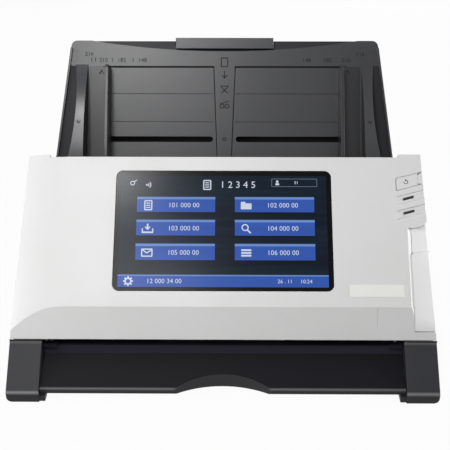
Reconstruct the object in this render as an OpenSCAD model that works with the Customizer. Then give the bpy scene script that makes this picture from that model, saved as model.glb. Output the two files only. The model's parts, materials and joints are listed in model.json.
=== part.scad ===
// Sheet fed document scanner: a black base with two front arms, a hinged white front cover
// that carries a sloping touch display, and a black input tray leaning back behind it.
// Every length is in millimetres: X to the right, Y to the back, Z up, origin under the middle.

/* [Body] */
// Width over the base and over the cover's lower edge
body_w = 310; // [304:1:330]
// Depth of the base tub, from the front of the arms to the back wall
base_d = 190; // [172:1:208]
// Wall thickness of the moulded shells
wall = 2.6; // [2.2:0.1:3]
// Inward lean of the cover's and the side covers' flanks, in degrees
flank_lean = 3; // [2:0.25:3.5]

/* [Base] */
// Width of each front arm
arm_w = 23.5; // [21:0.5:25]
// Height of an arm's front face
arm_front_h = 9.3; // [8.5:0.1:10.5]
// Height at which the feet hold the base off the table
foot_h = 1; // [0.8:0.1:1.4]
// Radius of a round rubber foot
foot_r = 7; // [6:0.5:8.5]
// Width of the finger cut-out in the front edge of the exit ramp
finger_w = 66; // [50:1:90]
// Depth of the finger cut-out
finger_d = 8; // [6:0.5:9]

/* [Front cover] */
// Slope of the front face above the horizontal, in degrees
face_slope = 41.6; // [40.5:0.2:42.4]
// Length of the front face from the fold to the top edge
face_len = 118.1; // [115:0.2:120]
// Width of the display glass
glass_w = 161.5; // [140:0.5:180]
// Height of the display glass
glass_h = 92.5; // [84:0.5:94]
// Corner radius of the display glass
glass_r = 4.7; // [3:0.1:8]

/* [Input tray] */
// Length of the tray above the throat
tray_len = 94.6; // [90:0.2:104]
// Width of the tray at its top edge
tray_top_w = 248; // [240:1:252]
// Width between the paper guides in the shown setting
guide_gap = 185; // [170:1:190]
// Height of a paper guide's wall
guide_h = 20; // [16:0.5:24]

/* [Paper path] */
// Radius of the curved paper path
path_r = 165; // [160:1:168]
// Radius of the feed roller
feed_r = 12; // [11:0.25:12.5]
// Radius of the transport rollers
drive_r = 7; // [6:0.25:7.25]
// Radius of the exit rollers
exit_r = 6.5; // [6:0.25:6.75]
// Radius of the roller shafts
shaft_r = 3; // [2.5:0.1:3.4]

/* [Hidden] */
$fn = 64;
eps = 0.01;
gap = 0.3;
run_fit = 0.05;
press = 0.02;
hw = body_w / 2;
rim_h = 27;
floor_t = 3;
floor_z = foot_h + floor_t;
arm_x = hw - arm_w;
arm_back = 28;
low_round = 4;

// Front cover, seen from the side as [Y, Z]
fold = [41, 56];
band_foot = [29.4, 34.95];
fd = [cos(face_slope), sin(face_slope)];
fn = [-sin(face_slope), cos(face_slope)];
slab_t = 14;
face_top = fold + face_len * fd;
slab_top = face_top - slab_t * fn;
slab_low = fold - 1 * fd - slab_t * fn;
hinge = [42, 42];
hinge_pin_r = 2.5;
post_l = hw - 18.5;
post_r = hw - 26;
post_w = 6;
round_w = 36;
round_r = 113;
pocket_x = hw - 16.4;
pocket_d = 10;
edge_cut = 2.2;
scoop_d = 1.6;
scoop_lean = 0.4;
lever_q = -9;
lever_depth = 6.8;
lever_lean = 0.16;
lever_low = 1.7;
latch_q = 76;
latch_depth = 12;

// Paper path: an arc that starts in the tray's plane and ends in a short straight
tray_slope = 58;
mouth = [167.5, 111.8];
td = [cos(tray_slope), sin(tray_slope)];
tn = [-sin(tray_slope), cos(tray_slope)];
exit_slope = 10;
path_start = mouth - 6 * td + 1 * tn;
arc_c = path_start + path_r * tn;
guide_off = 1.6;
guide_t = 2.4;
lane_w = 2 * (hw - 29.4);
plate_x = lane_w / 2 + 0.4;
scan_x = lane_w / 2 - 11.6;
plate_t = 2;
plate_out = plate_x + plate_t;
feed_psi = 47;
drive_psi = 32;
low_scan_psi = 20;
top_scan_psi = 24;
exit_y = 48;
pinch_r = 5;
exit_pinch_r = 4.3;
sheet_gap = 0.3;

function path_at(psi, off = 0) = arc_c + (path_r + off) * [sin(psi), -cos(psi)];
exit_pt = path_at(exit_slope) - (path_at(exit_slope)[0] - exit_y) * [1, tan(exit_slope)];
exit_up = [-sin(exit_slope), cos(exit_slope)];
feed_c = path_at(feed_psi, feed_r);
drive_c = path_at(drive_psi, drive_r);
exit_c = exit_pt - exit_r * exit_up;
pinch_c = path_at(drive_psi, -pinch_r - sheet_gap);
exit_pinch_c = exit_pt + (exit_pinch_r + sheet_gap) * exit_up;

// Gear train on the left: motor, big idler, transport and exit gears, small idler, feed gear
gear_m = 1;
gear_w = 5;
gear_x = -plate_out - 2 - gear_w;
slack = 0.14;
z_motor = 17;
z_big = 52;
z_drive = 20;
z_exit = 18;
z_idle = 20;
z_feed = 36;
stud_r = 2.5;

function pitch(z) = z * gear_m / 2;
// The point at distance ra from a and rb from b, to the left of the way from a to b
function meet(a, b, ra, rb) =
    let (v = b - a, l = norm(v), u = v / l, s = (ra * ra - rb * rb + l * l) / (2 * l))
    a + s * u + sqrt(ra * ra - s * s) * [-u[1], u[0]];
function bearing(a, b) = atan2(b[1] - a[1], b[0] - a[0]);
// Turn of gear b that puts its gaps over the teeth of gear a
function mesh_turn(a, b, za, ta, zb) =
    bearing(a, b) + 180 + 180 / zb - (ta - bearing(a, b)) * za / zb;
big_c = meet(exit_c, drive_c, pitch(z_exit + z_big), pitch(z_drive + z_big));
idle_c = meet(feed_c, drive_c, pitch(z_feed + z_idle), pitch(z_drive + z_idle));
motor_c = big_c + pitch(z_big + z_motor) * [cos(-40), sin(-40)];
big_turn = mesh_turn(drive_c, big_c, z_drive, 0, z_big);
exit_turn = mesh_turn(big_c, exit_c, z_big, big_turn, z_exit);
motor_turn = mesh_turn(big_c, motor_c, z_big, big_turn, z_motor);
idle_turn = mesh_turn(drive_c, idle_c, z_drive, 0, z_idle);
feed_turn = mesh_turn(idle_c, feed_c, z_idle, idle_turn, z_feed);

function involute(a) = tan(a) * 180 / PI - a;
function half_tooth(z, r) =
    let (rp = pitch(z), rb = rp * cos(20))
    90 / z - slack / 2 / rp * 180 / PI + involute(20) - involute(acos(min(1, rb / r)));
function polar(r, a) = [r * cos(a), r * sin(a)];
function gear_outline(z) =
    let (rp = pitch(z), rb = rp * cos(20), ra = rp + gear_m, rf = rp - 1.25 * gear_m,
         r0 = max(rb, rf) + 0.02, rs = [r0, r0 + (ra - r0) * 0.4, r0 + (ra - r0) * 0.75, ra])
    [for (i = [0:z - 1]) each concat(
        [polar(rf, i * 360 / z - half_tooth(z, r0))],
        [for (r = rs) polar(r, i * 360 / z - half_tooth(z, r))],
        [for (k = [3:-1:0]) polar(rs[k], i * 360 / z + half_tooth(z, rs[k]))],
        [polar(rf, i * 360 / z + half_tooth(z, r0))])];

// Tray in its own plane: x to the right, y up the slope from the throat, z out of the face
tray_t = 3;
tray_foot_w = tray_top_w + 24.5;
tray_low = -13.5;
slot_p = 14.5;
slot_h = 4.4;
rack_r = 10;
rack_top = -3.4;
rack_t = 4.8;
ext_top = -8.8;
ext_t = 2.4;
back_top = -11.6;
back_t = 2.4;
tray_deep = -back_top + back_t;
tab_over = 3;
overall_d = mouth[0] + (tray_len - 1) * td[0] + tray_deep * sin(tray_slope);
guide_in = guide_gap / 2;
guide_w = 16.7;
guide_low = -8;
guide_top = 73.2;
guide_foot = guide_in + 8;
back_y = 190;
front_y = back_y - base_d;

module machine() {
    translate([0, -(overall_d + front_y) / 2, 0]) children();
}

// Extrudes a [Y, Z] outline from x0 to x1
module along_x(x0, x1) {
    translate([x0, 0, 0]) rotate([90, 0, 90]) linear_extrude(x1 - x0) children();
}

module rod(c, r, x0, x1) {
    translate([x0, c[0], c[1]]) rotate([0, 90, 0]) cylinder(h = x1 - x0, r = r);
}

// Front face frame: x right, y up the face from the fold, z out of the face
module on_face(q = 0, x = 0) {
    translate([x, fold[0] + q * fd[0], fold[1] + q * fd[1]]) rotate([face_slope, 0, 0]) children();
}

module on_tray(p = 0) {
    translate([0, mouth[0] + p * td[0], mouth[1] + p * td[1]]) rotate([tray_slope, 0, 0]) children();
}

// Frame on the curved paper path: y along the path to the back, z up out of it
module at_path(psi) {
    translate([0, path_at(psi)[0], path_at(psi)[1]]) rotate([psi, 0, 0]) children();
}

module slab(x0, x1, y0, y1, z0, z1) {
    translate([x0, y0, z0]) cube([x1 - x0, y1 - y0, z1 - z0]);
}

module both_sides() {
    children();
    mirror([1, 0, 0]) children();
}

module round_plate(w, h, r) {
    union() {
        square([w - 2 * r, h], center = true);
        square([w, h - 2 * r], center = true);
        for (sx = [-1, 1], sy = [-1, 1]) {
            translate([sx * (w / 2 - r), sy * (h / 2 - r)]) circle(r);
        }
    }
}

function flank_x(z) = hw - (z - rim_h) * tan(flank_lean);

// Everything between the leaning flanks, i inside them
module flanks(i = 0) {
    translate([0, 400, 0]) rotate([90, 0, 0]) linear_extrude(600) polygon([
        [-flank_x(0) + i, 0], [flank_x(0) - i, 0], [flank_x(220) - i, 220], [-flank_x(220) + i, 220]]);
}

module gear(c, z, turn, bore, x0 = gear_x, w = gear_w) {
    difference() {
        along_x(x0, x0 + w) translate(c) rotate(turn) polygon(gear_outline(z));
        rod(c, bore / cos(15), x0 - 1, x0 + w + 1, $fn = 12);
    }
}

// Base

module base_pan() {
    color("#3c3e41") machine() {
        base_tub();
        both_sides() slab(arm_x - 4.2, arm_x + 1, front_y + 1, 24, foot_h, 5.7);
        hinge_post(-post_l - post_w);
        hinge_post(post_r);
    }
}

// Stands behind the hinge, clear of the cover's swing
module hinge_post(x) {
    difference() {
        union() {
            along_x(x, x + post_w) polygon([[41, hinge[1] + 4.4], [62, 43], [66, floor_z - 1],
                [58, floor_z - 1], [56, 35], [44, 38]]);
            rod(hinge, 4.5, x, x + post_w);
        }
        rod(hinge, hinge_pin_r + run_fit, x - 1, x + post_w + 1);
    }
}

// Rounded corner at [y0, z0] between an upright front and the slope that climbs to [y1, z1]
function front_round(y0, z0, y1, z1, r) = let (turn = 90 - atan2(z1 - z0, y1 - y0),
    z = z0 - r * tan(turn / 2))
    [for (k = [0:6]) [y0 + r - r * cos(k * turn / 6), z + r * sin(k * turn / 6)]];

module base_tub() {
    difference() {
        along_x(-hw, hw) polygon(concat([[front_y, foot_h]],
            front_round(front_y, arm_front_h, arm_back, 32.5, 1.8), [[arm_back, 32.5],
            [arm_back + 0.3, 33.9],
            [arm_back + 1.3, 33.9], [arm_back + 4.6, 30.4], [33, rim_h],
            [back_y, rim_h], [back_y, foot_h]]));
        slab(-arm_x, arm_x, front_y - 1, 36, -1, 60);
        slab(-hw + wall, hw - wall, 36 + wall, back_y - wall, floor_z, 60);
        slab(-arm_x, arm_x, 30, 36 + wall + 1, 19, 60);
        both_sides() difference() {
            slab(hw - low_round, hw + 1, front_y - 1, back_y + 1, foot_h - 1, foot_h + low_round);
            translate([hw - low_round, front_y - 2, foot_h + low_round]) rotate([-90, 0, 0])
                cylinder(h = base_d + 4, r = low_round);
        }
        both_sides() for (y = [front_y + 11, back_y - 14]) {
            translate([hw - 14, y, -1]) cylinder(h = foot_h + 1 + 0.8, r = foot_r + 0.1);
        }
        for (s = screw_spots) {
            translate([s[0], s[1], -1]) cylinder(h = 10, r = 1.7);
            translate([s[0], s[1], -1]) cylinder(h = foot_h + 2.4, r = 3.2);
        }
    }
}

screw_spots = [for (sx = [-1, 1], y = [70, back_y - 22]) [sx * (plate_x - 5), y]];

module ramp_outline() {
    polygon(concat([[front_y + 4, 6]], front_round(front_y + 4, 10, 30, 22, 1.4),
        [[30, 22], [32.5, 27.2], [42, 27.4], [42, 25.2], [34.6, 24.8], [31.6, 19.6],
        [front_y + 8, 8.7], [front_y + 8, 6]]));
}

module exit_ramp() {
    low_r = (finger_w * finger_w / 4 + finger_d * finger_d) / (2 * finger_d);
    color("#26272b") machine() difference() {
        union() {
            along_x(-arm_x + gap, arm_x - gap) ramp_outline();
            intersection() {
                along_x(-finger_w, finger_w) polygon([[front_y + 4, 6], [front_y + 4, 10], [30, 21.9],
                    [30, 6]]);
                translate([0, front_y + 4 + finger_d - low_r, 0]) cylinder(h = 40, r = low_r + 5);
                translate([-finger_w, front_y, 0]) cube([2 * finger_w, 40, 40]);
            }
            for (x = [-110, -70, 70, 110]) {
                along_x(x, x + 2) polygon([[front_y + 8, 6], [front_y + 8, 9], [30, 19.4], [30, 6]]);
            }
            both_sides() slab(arm_x - 10, arm_x - gap, 30, 33.6, 26.4, 28.4);
        }
        translate([0, front_y + 4 + finger_d - low_r, 5.9]) cylinder(h = 40, r1 = low_r, r2 = low_r + 14);
        both_sides() slab(13, 46.6, 38, 60, 0, 60);
        both_sides() slab(lane_w / 2, hw, 37, 60, 0, 60);
    }
}

module rubber_feet() {
    color("#1a1a1a") machine() both_sides() for (y = [front_y + 11, back_y - 14]) {
        translate([hw - 14, y, 0]) cylinder(h = foot_h + 0.8, r = foot_r);
    }
}

plate_outline = [[40, 12], [40, 27.6], [44, 29.6], [50, 36], [66, 38], [96, 47], [96, 58], [108, 62],
    [120, 58],
    [134, 68], [144, 86], [154, 98], [166, 101], [180, 88], [184, 80], [184, floor_z], [48, floor_z],
        [44, 12]];

module side_plate() {
    difference() {
        union() {
            along_x(plate_x, plate_out) polygon(plate_outline);
            slab(plate_x - 9, plate_x + 1, 60, back_y - 14, floor_z, floor_z + plate_t);
        }
        for (c = [feed_c, drive_c, exit_c]) {
            rod(c, shaft_r + 2.2, plate_x - 1, plate_out + 1);
        }
        for (s = screw_spots) {
            translate([abs(s[0]), s[1], floor_z - 1]) cylinder(h = 5, r = 1.5);
        }
    }
}

module left_side_plate() {
    color("#9a9c9e") machine() difference() {
        mirror([1, 0, 0]) side_plate();
        rod(motor_c, 4, -plate_out - 1, -plate_x + 1);
        for (c = [big_c, idle_c]) {
            rod(c, stud_r - 0.5, -plate_out - 1, -plate_x + 1);
        }
    }
}

module right_side_plate() {
    color("#9a9c9e") machine() difference() {
        union() {
            side_plate();
            along_x(plate_x, plate_out) polygon([[108, 50], fold + 68 * fd - 31 * fn,
                fold + 84 * fd - 31 * fn, [136, 66]]);
        }
        rod(drive_c, shaft_r + 2.2, plate_x - 1, plate_out + 1);
        on_face(latch_q) slab(plate_x - 1, plate_out + 1, -4.5, 4.5, -hook_depth - 2.4, -hook_depth + 2.4);
    }
}

// Where the latch closes: a window high on the right side plate
latch_x = plate_out + 5;
hook_depth = 38;

module shaft_bushes() {
    color("#d8d2b8") machine() both_sides() for (c = [feed_c, drive_c, exit_c]) {
        difference() {
            union() {
                rod(c, shaft_r + 2.2 - press, plate_x, plate_out + 0.6);
                rod(c, shaft_r + 3.4, plate_out, plate_out + 1.2);
            }
            rod(c, shaft_r + run_fit, plate_x - 1, plate_out + 2);
        }
    }
}

module gear_studs() {
    color("#b8babc") machine() for (c = [big_c, idle_c]) {
        rod(c, stud_r - 0.5 - press, -plate_out, -plate_x);
        rod(c, stud_r + 1.2, -plate_out - 1.6, -plate_out);
        rod(c, stud_r, gear_x - 0.4, -plate_out);
        rod(c, stud_r + 1.4, gear_x - 1.6, gear_x - 0.4);
    }
}

drive_span = [-75, -25, 25, 75];
exit_span = [14, 45.6];

// Windows through the guides over the rollers and the scan glasses
module lane_windows() {
    for (x = drive_span) {
        at_path(drive_psi) slab(x - 8, x + 8, -8, 8, -6, 6);
    }
    at_path(feed_psi) slab(-22, 22, -11, 11, -6, 6);
    both_sides() slab(exit_span[0] - 1, exit_span[1] + 1, 30, exit_c[0] + 8.6, 0, 60);
}

function lane(off, p0, p1) = [for (i = [0:12]) path_at(p0 + (p1 - p0) * i / 12, off)];
function flip(v) = [for (i = [len(v) - 1:-1:0]) v[i]];
exit_lane = path_at(exit_slope) - 1.5 * [1, tan(exit_slope)];

module lower_guide() {
    color("#2b2d30") machine() difference() {
        union() {
            along_x(-lane_w / 2, lane_w / 2) polygon(concat(
                [exit_lane - guide_off * exit_up], lane(guide_off, exit_slope, 55),
                flip(lane(guide_off + guide_t, exit_slope, 55)),
                [exit_lane - (guide_off + guide_t) * exit_up]));
            both_sides() along_x(lane_w / 2 - 2, lane_w / 2) polygon(concat(lane(guide_off + 1, 14, 50),
                flip(lane(guide_off + guide_t + 6, 14, 50))));
            for (x = [27, 40.4]) {
                at_path(54) slab(x, x + 2.6, -8, -2, -9, -2.6);
            }
        }
        lane_windows();
        at_path(low_scan_psi) slab(-scan_x + 2.8, scan_x - 2.8, -8.2, 8.2, -8, 5);
        at_path(54) slab(30, 40, -17, 2, -5.4, 5);
        at_path(54) translate([20, -5, -7]) rotate([0, 90, 0]) cylinder(h = 30, r = 1.2 + run_fit);
        for (c = [drive_c, exit_c, feed_c]) {
            rod(c, shaft_r + 1, -lane_w, lane_w);
        }
    }
}

module low_scan_unit() {
    color("#1d1e20") machine() at_path(low_scan_psi) difference() {
        union() {
            slab(-scan_x, scan_x, -9, 9, -17, -guide_off - guide_t - 1);
            slab(-scan_x + 3, scan_x - 3, -8, 8, -8, -guide_off - 1.5);
        }
        slab(-scan_x + 8, scan_x - 8, -3, 3, -12, 0);
        slab(-scan_x + 5, scan_x - 5, -7, 7, -20, -15);
    }
}

module low_scan_glass() {
    color("#bcd2cf") machine() at_path(low_scan_psi)
        slab(-scan_x + 3, scan_x - 3, -8, 8, -guide_off - 1.5, -guide_off);
}

module drive_motor() {
    color("#55585c") machine() difference() {
        union() {
            rod(motor_c, 14.4, -plate_x + 1, -plate_x + 11.4);
            along_x(-plate_x, -plate_x + 1.2) polygon([motor_c + [-19, -7], motor_c + [-19, 7],
                motor_c + [-8, 14],
                motor_c + [8, 14], motor_c + [19, 7], motor_c + [19, -7], motor_c + [8, -14],
                    motor_c + [-8, -14]]);
            slab(-plate_x + 3, -plate_x + 9, motor_c[0] + 12, motor_c[0] + 19, motor_c[1] - 5,
                motor_c[1] + 5);
        }
        rod(motor_c, 2 + run_fit, -plate_x - 1, -plate_x + 10);
    }
}

module main_board() {
    color("#1f5a3a") machine() union() {
        slab(-70, 112, back_y - 10.6, back_y - 9, 14, 74);
        for (x = [-62, 104], z = [20, 68]) {
            translate([x, back_y - 9.01, z]) rotate([-90, 0, 0]) cylinder(h = 9.01 - wall, r = 3);
        }
        slab(-30, -2, back_y - 14, back_y - 10.6, 30, 58);
        slab(16, 36, back_y - 13, back_y - 10.6, 36, 56);
        slab(50, 58, back_y - 18, back_y - 10.6, 26, 66);
        slab(-60, -42, back_y - 16, back_y - 10.6, 22, 64);
    }
}

module rear_sockets() {
    color("#8f9193") machine() difference() {
        union() {
            slab(-52, -36, back_y - 9, back_y - 0.4, 34, 48);
            slab(-20, -8, back_y - 9, back_y - 0.4, 34, 45);
            slab(84, 95, back_y - 9, back_y - 0.4, 34, 45);
        }
        slab(-50, -38, back_y - 8, back_y + 1, 36, 45);
        slab(-18, -10, back_y - 8, back_y + 1, 36, 43);
        difference() {
            translate([89.5, back_y - 8, 39.5]) rotate([-90, 0, 0]) cylinder(h = 10, r = 4);
            translate([89.5, back_y - 9, 39.5]) rotate([-90, 0, 0]) cylinder(h = 8, r = 1);
        }
    }
}

// Upper edges of the body behind the cover: the side covers' top from crest to shoulder
crest = slab_top + [1.8, -1.6];
shoulder = mouth - 4.6 * td - (tray_deep + 0.7) * tn;
top_dir = (shoulder - crest) / norm(shoulder - crest);
top_in_dir = [top_dir[1], -top_dir[0]];
knee = [back_y, 88];
rim_in = hw - 17.6;

module rear_housing() {
    color("#e9e9e7") machine() difference() {
        intersection() {
            along_x(-hw, hw) polygon([[back_y, rim_h + gap], knee, shoulder + 0.2 * top_dir,
                shoulder + 0.2 * top_dir + wall * top_in_dir, knee + [-wall, -1.2],
                    [back_y - wall, rim_h + gap]]);
            flanks(wall + 0.1);
        }
        slab(-52.3, -35.7, back_y - 5, back_y + 1, 33.7, 48.3);
        slab(-20.3, -7.7, back_y - 5, back_y + 1, 33.7, 45.3);
        slab(83.7, 95.3, back_y - 5, back_y + 1, 33.7, 45.3);
        for (x = [-90:9:-9]) {
            slab(x, x + 4, back_y - 5, back_y + 1, 64, 78);
        }
    }
}

module side_cover() {
    difference() {
        intersection() {
            along_x(rim_in, hw + 5) polygon([[45.2, rim_h + gap], [45.2, 32], [51, 36.4],
                slab_low + 3.6 * fd - 0.8 * fn,
                slab_top - 0.8 * fn - 1.6 * fd, crest, shoulder, knee, [back_y, rim_h + gap]]);
            flanks(0);
        }
        intersection() {
            along_x(rim_in - 1, hw + 6) polygon([[30, 0], [30, 70],
                crest - 14 * top_dir + wall * top_in_dir,
                shoulder + wall * top_in_dir, shoulder - 9 * top_in_dir, [back_y + 9, 110],
                    [back_y + 9, 0]]);
            flanks(wall);
        }
    }
}

module left_side_cover() {
    color("#ececea") machine() mirror([1, 0, 0]) side_cover();
}

module right_side_cover() {
    color("#ececea") machine() side_cover();
}

module base_screws() {
    color("#2a2a2c") machine() for (s = screw_spots) {
        difference() {
            union() {
                translate([s[0], s[1], foot_h + 0.5]) cylinder(h = 0.9, r = 3);
                translate([s[0], s[1], foot_h + 1.4 - eps]) cylinder(h = floor_t + 1.4, r = 1.46);
            }
            translate([s[0] - 2, s[1] - 0.4, foot_h]) cube([4, 0.8, 0.9]);
            translate([s[0] - 0.4, s[1] - 2, foot_h]) cube([0.8, 4, 0.9]);
        }
    }
}

// Input tray

function tray_x(p) = tray_top_w / 2 + (tray_len - p) / tray_len * (tray_foot_w - tray_top_w) / 2;

module tray_plan() {
    polygon([[-lane_w / 2 + 1, tray_low], [lane_w / 2 - 1, tray_low], [lane_w / 2 - 1, -9],
        [tray_x(-8), -8], [tray_x(tray_len - 5), tray_len - 5], [tray_x(tray_len - 5) - 5, tray_len],
        [5 - tray_x(tray_len - 5), tray_len], [-tray_x(tray_len - 5), tray_len - 5],
        [-tray_x(-8), -8], [-lane_w / 2 + 1, -9]]);
    for (sx = [-1, 1]) {
        translate([sx * (tray_x(tray_len - 5) - 5), tray_len - 5]) circle(5);
    }
}

rail_h = 20.5;
rail_top = 75;
rail_r = 150;
rail_x = tray_x(0) - 24.65;
hollow_r = 203;

// Side rail: its top is an arc that runs out under the tray's head, its outer edge is hollowed
module rail() {
    difference() {
        intersection() {
            slab(rail_x - 4, rail_x + 14, -8, rail_top, -eps, rail_h);
            translate([0, 0, rail_h - rail_r]) rotate([0, 90, 0]) cylinder(h = hw, r = rail_r);
            linear_extrude(rail_h + 1) polygon([[rail_x + 0.1, -8], [rail_x - 1, rail_top],
                [rail_x + 14, rail_top], [rail_x + 14, -8]]);
        }
        translate([rail_x + 6.6 + hollow_r, 44, -1]) cylinder(h = rail_h + 3, r = hollow_r);
    }
}

module input_tray() {
    scoop = 8.5;
    scoop_r = (108 * 108 + scoop * scoop) / (2 * scoop);
    color("#3a3c3f") machine() on_tray() difference() {
        union() {
            translate([0, 0, -tray_t]) linear_extrude(tray_t) tray_plan();
            both_sides() rail();
            both_sides() translate([0, 0, -tray_t]) linear_extrude(tray_t + 2.4) polygon([
                [tray_x(-8) - 1.6, -8], [tray_x(-8), -8], [tray_x(tray_len - 6), tray_len - 6],
                [tray_x(tray_len - 6) - 1.6, tray_len - 6]]);
            translate([0, slot_p, rack_top - rack_t]) cylinder(h = rack_t - rack_top - tray_t + eps,
                r = 2.5);
        }
        intersection() {
            translate([0, tray_len - scoop + scoop_r, -20]) cylinder(h = 40, r = scoop_r);
            translate([0, tray_len - scoop, 0]) rotate([-12, 0, 0]) slab(-hw, hw, -1, 2 * scoop, -0.5, 20);
        }
        both_sides() translate([0, 0, -0.6]) linear_extrude(5) polygon([[5.2, -7], [guide_in + 6, -7],
            [guide_in + 6, 73.9], [8.4, 73.9]]);
        both_sides() slab(9.3 + slot_h / 2, guide_foot + 6.6, slot_p - slot_h / 2, slot_p + slot_h / 2,
            -5, 5);
        both_sides() translate([9.3 + slot_h / 2, slot_p, -5]) cylinder(h = 10, r = slot_h / 2);
        for (p = [28.4, 51.2]) {
            both_sides() slab(9, guide_in + 6, p - 0.4, p + 0.4, -1, 5);
        }
        both_sides() for (x = [74, 91, 105, 108]) {
            slab(x - 0.3, x + 0.3, 77.4, 80.4, -0.4, 5);
        }
        slab(-39.8, 39.8, tray_len - 3.3, tray_len + 5, -20, 5);
        slab(29, 41, -16, -10, -8, 5);
    }
}

module tray_back() {
    color("#333538") machine() on_tray() difference() {
        translate([0, 0, back_top - back_t]) linear_extrude(-tray_t - back_top + back_t) polygon([
            [-tray_x(0) + 12, -4], [tray_x(0) - 12, -4], [tray_x(60) - 8, tray_len - 6],
                [tray_x(60) - 13, tray_len - 1],
            [-tray_x(60) + 13, tray_len - 1], [-tray_x(60) + 8, tray_len - 6]]);
        translate([0, 0, back_top]) linear_extrude(20) polygon([[-tray_x(0) + 14.4, -1.4],
            [tray_x(0) - 14.4, -1.4],
            [tray_x(60) - 10.4, tray_len - 6.5], [tray_x(60) - 10.4, tray_len + 5],
            [-tray_x(60) + 10.4, tray_len + 5], [-tray_x(60) + 10.4, tray_len - 6.5]]);
    }
}

ext_w = 200;

module tray_extension() {
    color("#2f3134") machine() on_tray() union() {
        difference() {
            slab(-ext_w / 2, ext_w / 2, 10, tray_len - 1.4, ext_top - ext_t, ext_top);
            both_sides() slab(20, ext_w / 2 - 14, 20, 58, ext_top - ext_t - 1, ext_top - 1.4);
        }
        slab(-39.5, 39.5, tray_len - 8, tray_len + 1.8, ext_top - ext_t, ext_top);
        slab(-39.5, 39.5, tray_len - 3, tray_len + 1.8, ext_top - eps, 2.6);
        slab(-39.5, 39.5, tray_len - 7, tray_len + 1.8, 1, 2.6);
    }
}

module rack_teeth(x0, x1) {
    half = PI * gear_m / 4 - slack / 2;
    for (k = [floor(x0 / PI):floor(x1 / PI) - 1]) {
        polygon([[(k + 0.5) * PI - half - 0.46, 1.25 + eps], [(k + 0.5) * PI - half + 0.36, -1],
            [(k + 0.5) * PI + half - 0.36, -1], [(k + 0.5) * PI + half + 0.46, 1.25 + eps]]);
    }
}

// The visible L of a paper guide, drawn for the left side
module guide_body() {
    difference() {
        union() {
            slab(-guide_in - guide_w, -guide_in, guide_low, guide_top, gap, 2);
            translate([-guide_in - 2.6, 0, 0]) rotate([90, 0, 90]) linear_extrude(2.6) polygon([
                [guide_low, gap], [guide_top, gap], [guide_top, guide_h * 0.62],
                [guide_top - 3, guide_h * 0.72], [10, guide_h], [guide_low, guide_h]]);
        }
        translate([-guide_in - 7, guide_top - 5, 1.4]) rotate(-30) cylinder(h = 2, r = 2.2, $fn = 3);
    }
}

// Its foot through the tray's slot, and the rack that lies over the pinion behind the tray
module guide_rack() {
    slab(-guide_foot - 4, -guide_foot + 4, slot_p - slot_h / 2 + gap, slot_p + slot_h / 2 - gap,
        rack_top - rack_t, 1);
    slab(-guide_foot - 4, -guide_foot + 4, slot_p, slot_p + rack_r + 5, rack_top - rack_t, rack_top);
    translate([0, slot_p + rack_r, rack_top - rack_t]) linear_extrude(rack_t) union() {
        translate([-guide_foot, 1.25]) square([guide_foot + 22, 3.75]);
        rack_teeth(-80, 22);
    }
}

module left_guide() {
    color("#35373a") machine() on_tray() union() {
        guide_body();
        guide_rack();
    }
}

module right_guide() {
    color("#35373a") machine() on_tray() union() {
        mirror([1, 0, 0]) guide_body();
        translate([0, 2 * slot_p, 0]) rotate([0, 0, 180]) guide_rack();
    }
}

module guide_pinion() {
    color("#d0cab0") machine() on_tray() difference() {
        translate([0, slot_p, rack_top - rack_t + 0.2]) linear_extrude(rack_t - 0.4)
            polygon(gear_outline(2 * rack_r));
        translate([0, slot_p, -20]) cylinder(h = 30, r = 2.5 + run_fit);
    }
}

module paper_flag() {
    color("#4a4c50") machine() at_path(54) union() {
        translate([30.2, -5, -7]) rotate([0, 90, 0]) cylinder(h = 9.6, r = 2.2);
        translate([26.8, -5, -7]) rotate([0, 90, 0]) cylinder(h = 16.4, r = 1.2);
        slab(33, 37, -6, -3.6, -7, 3.4);
    }
}

// Rollers and gears in the base

module shaft(c) {
    rod(c, shaft_r, gear_x - 1.2, plate_out + 3);
}

module tyre(c, r, x0, x1) {
    difference() {
        rod(c, r, x0, x1);
        rod(c, shaft_r + press, x0 - 1, x1 + 1);
    }
}

module feed_shaft() {
    color("#c9cbcd") machine() shaft(feed_c);
}

module feed_tyres() {
    color("#8d8f92") machine() both_sides() tyre(feed_c, feed_r, 2, 20);
}

module feed_gear() {
    color("#d9d5c4") machine() gear(feed_c, z_feed, feed_turn, shaft_r + press);
}

module drive_shaft() {
    color("#c9cbcd") machine() shaft(drive_c);
}

module drive_tyres() {
    color("#8d8f92") machine() for (x = drive_span) {
        tyre(drive_c, drive_r, x - 7, x + 7);
    }
}

module drive_gear() {
    color("#d9d5c4") machine() gear(drive_c, z_drive, 0, shaft_r + press);
}

module exit_shaft() {
    color("#c9cbcd") machine() shaft(exit_c);
}

module exit_tyres() {
    color("#8d8f92") machine() both_sides() tyre(exit_c, exit_r, exit_span[0], exit_span[1]);
}

module exit_gear() {
    color("#d9d5c4") machine() gear(exit_c, z_exit, exit_turn, shaft_r + press);
}

module big_idler() {
    color("#d9d5c4") machine() difference() {
        gear(big_c, z_big, big_turn, stud_r + run_fit);
        for (a = [0:60:300]) {
            rod(big_c + polar(16, a), 6.5, gear_x - 1, gear_x + gear_w + 1, $fn = 12);
        }
    }
}

module small_idler() {
    color("#d9d5c4") machine() gear(idle_c, z_idle, idle_turn, stud_r + run_fit);
}

module motor_pinion() {
    color("#c2a868") machine() union() {
        gear(motor_c, z_motor, motor_turn, 1.5);
        rod(motor_c, 2, gear_x + 0.5, -plate_x + 9);
    }
}

// Front cover

bd = (fold - band_foot) / norm(fold - band_foot);
bn = [-bd[1], bd[0]];
fold_in = fold - wall * (fn + bn) / (1 + fn * bn);
top_in = face_top - wall * fd - wall * fn;
edge_turn = atan(sin(face_slope) * tan(flank_lean));

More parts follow.
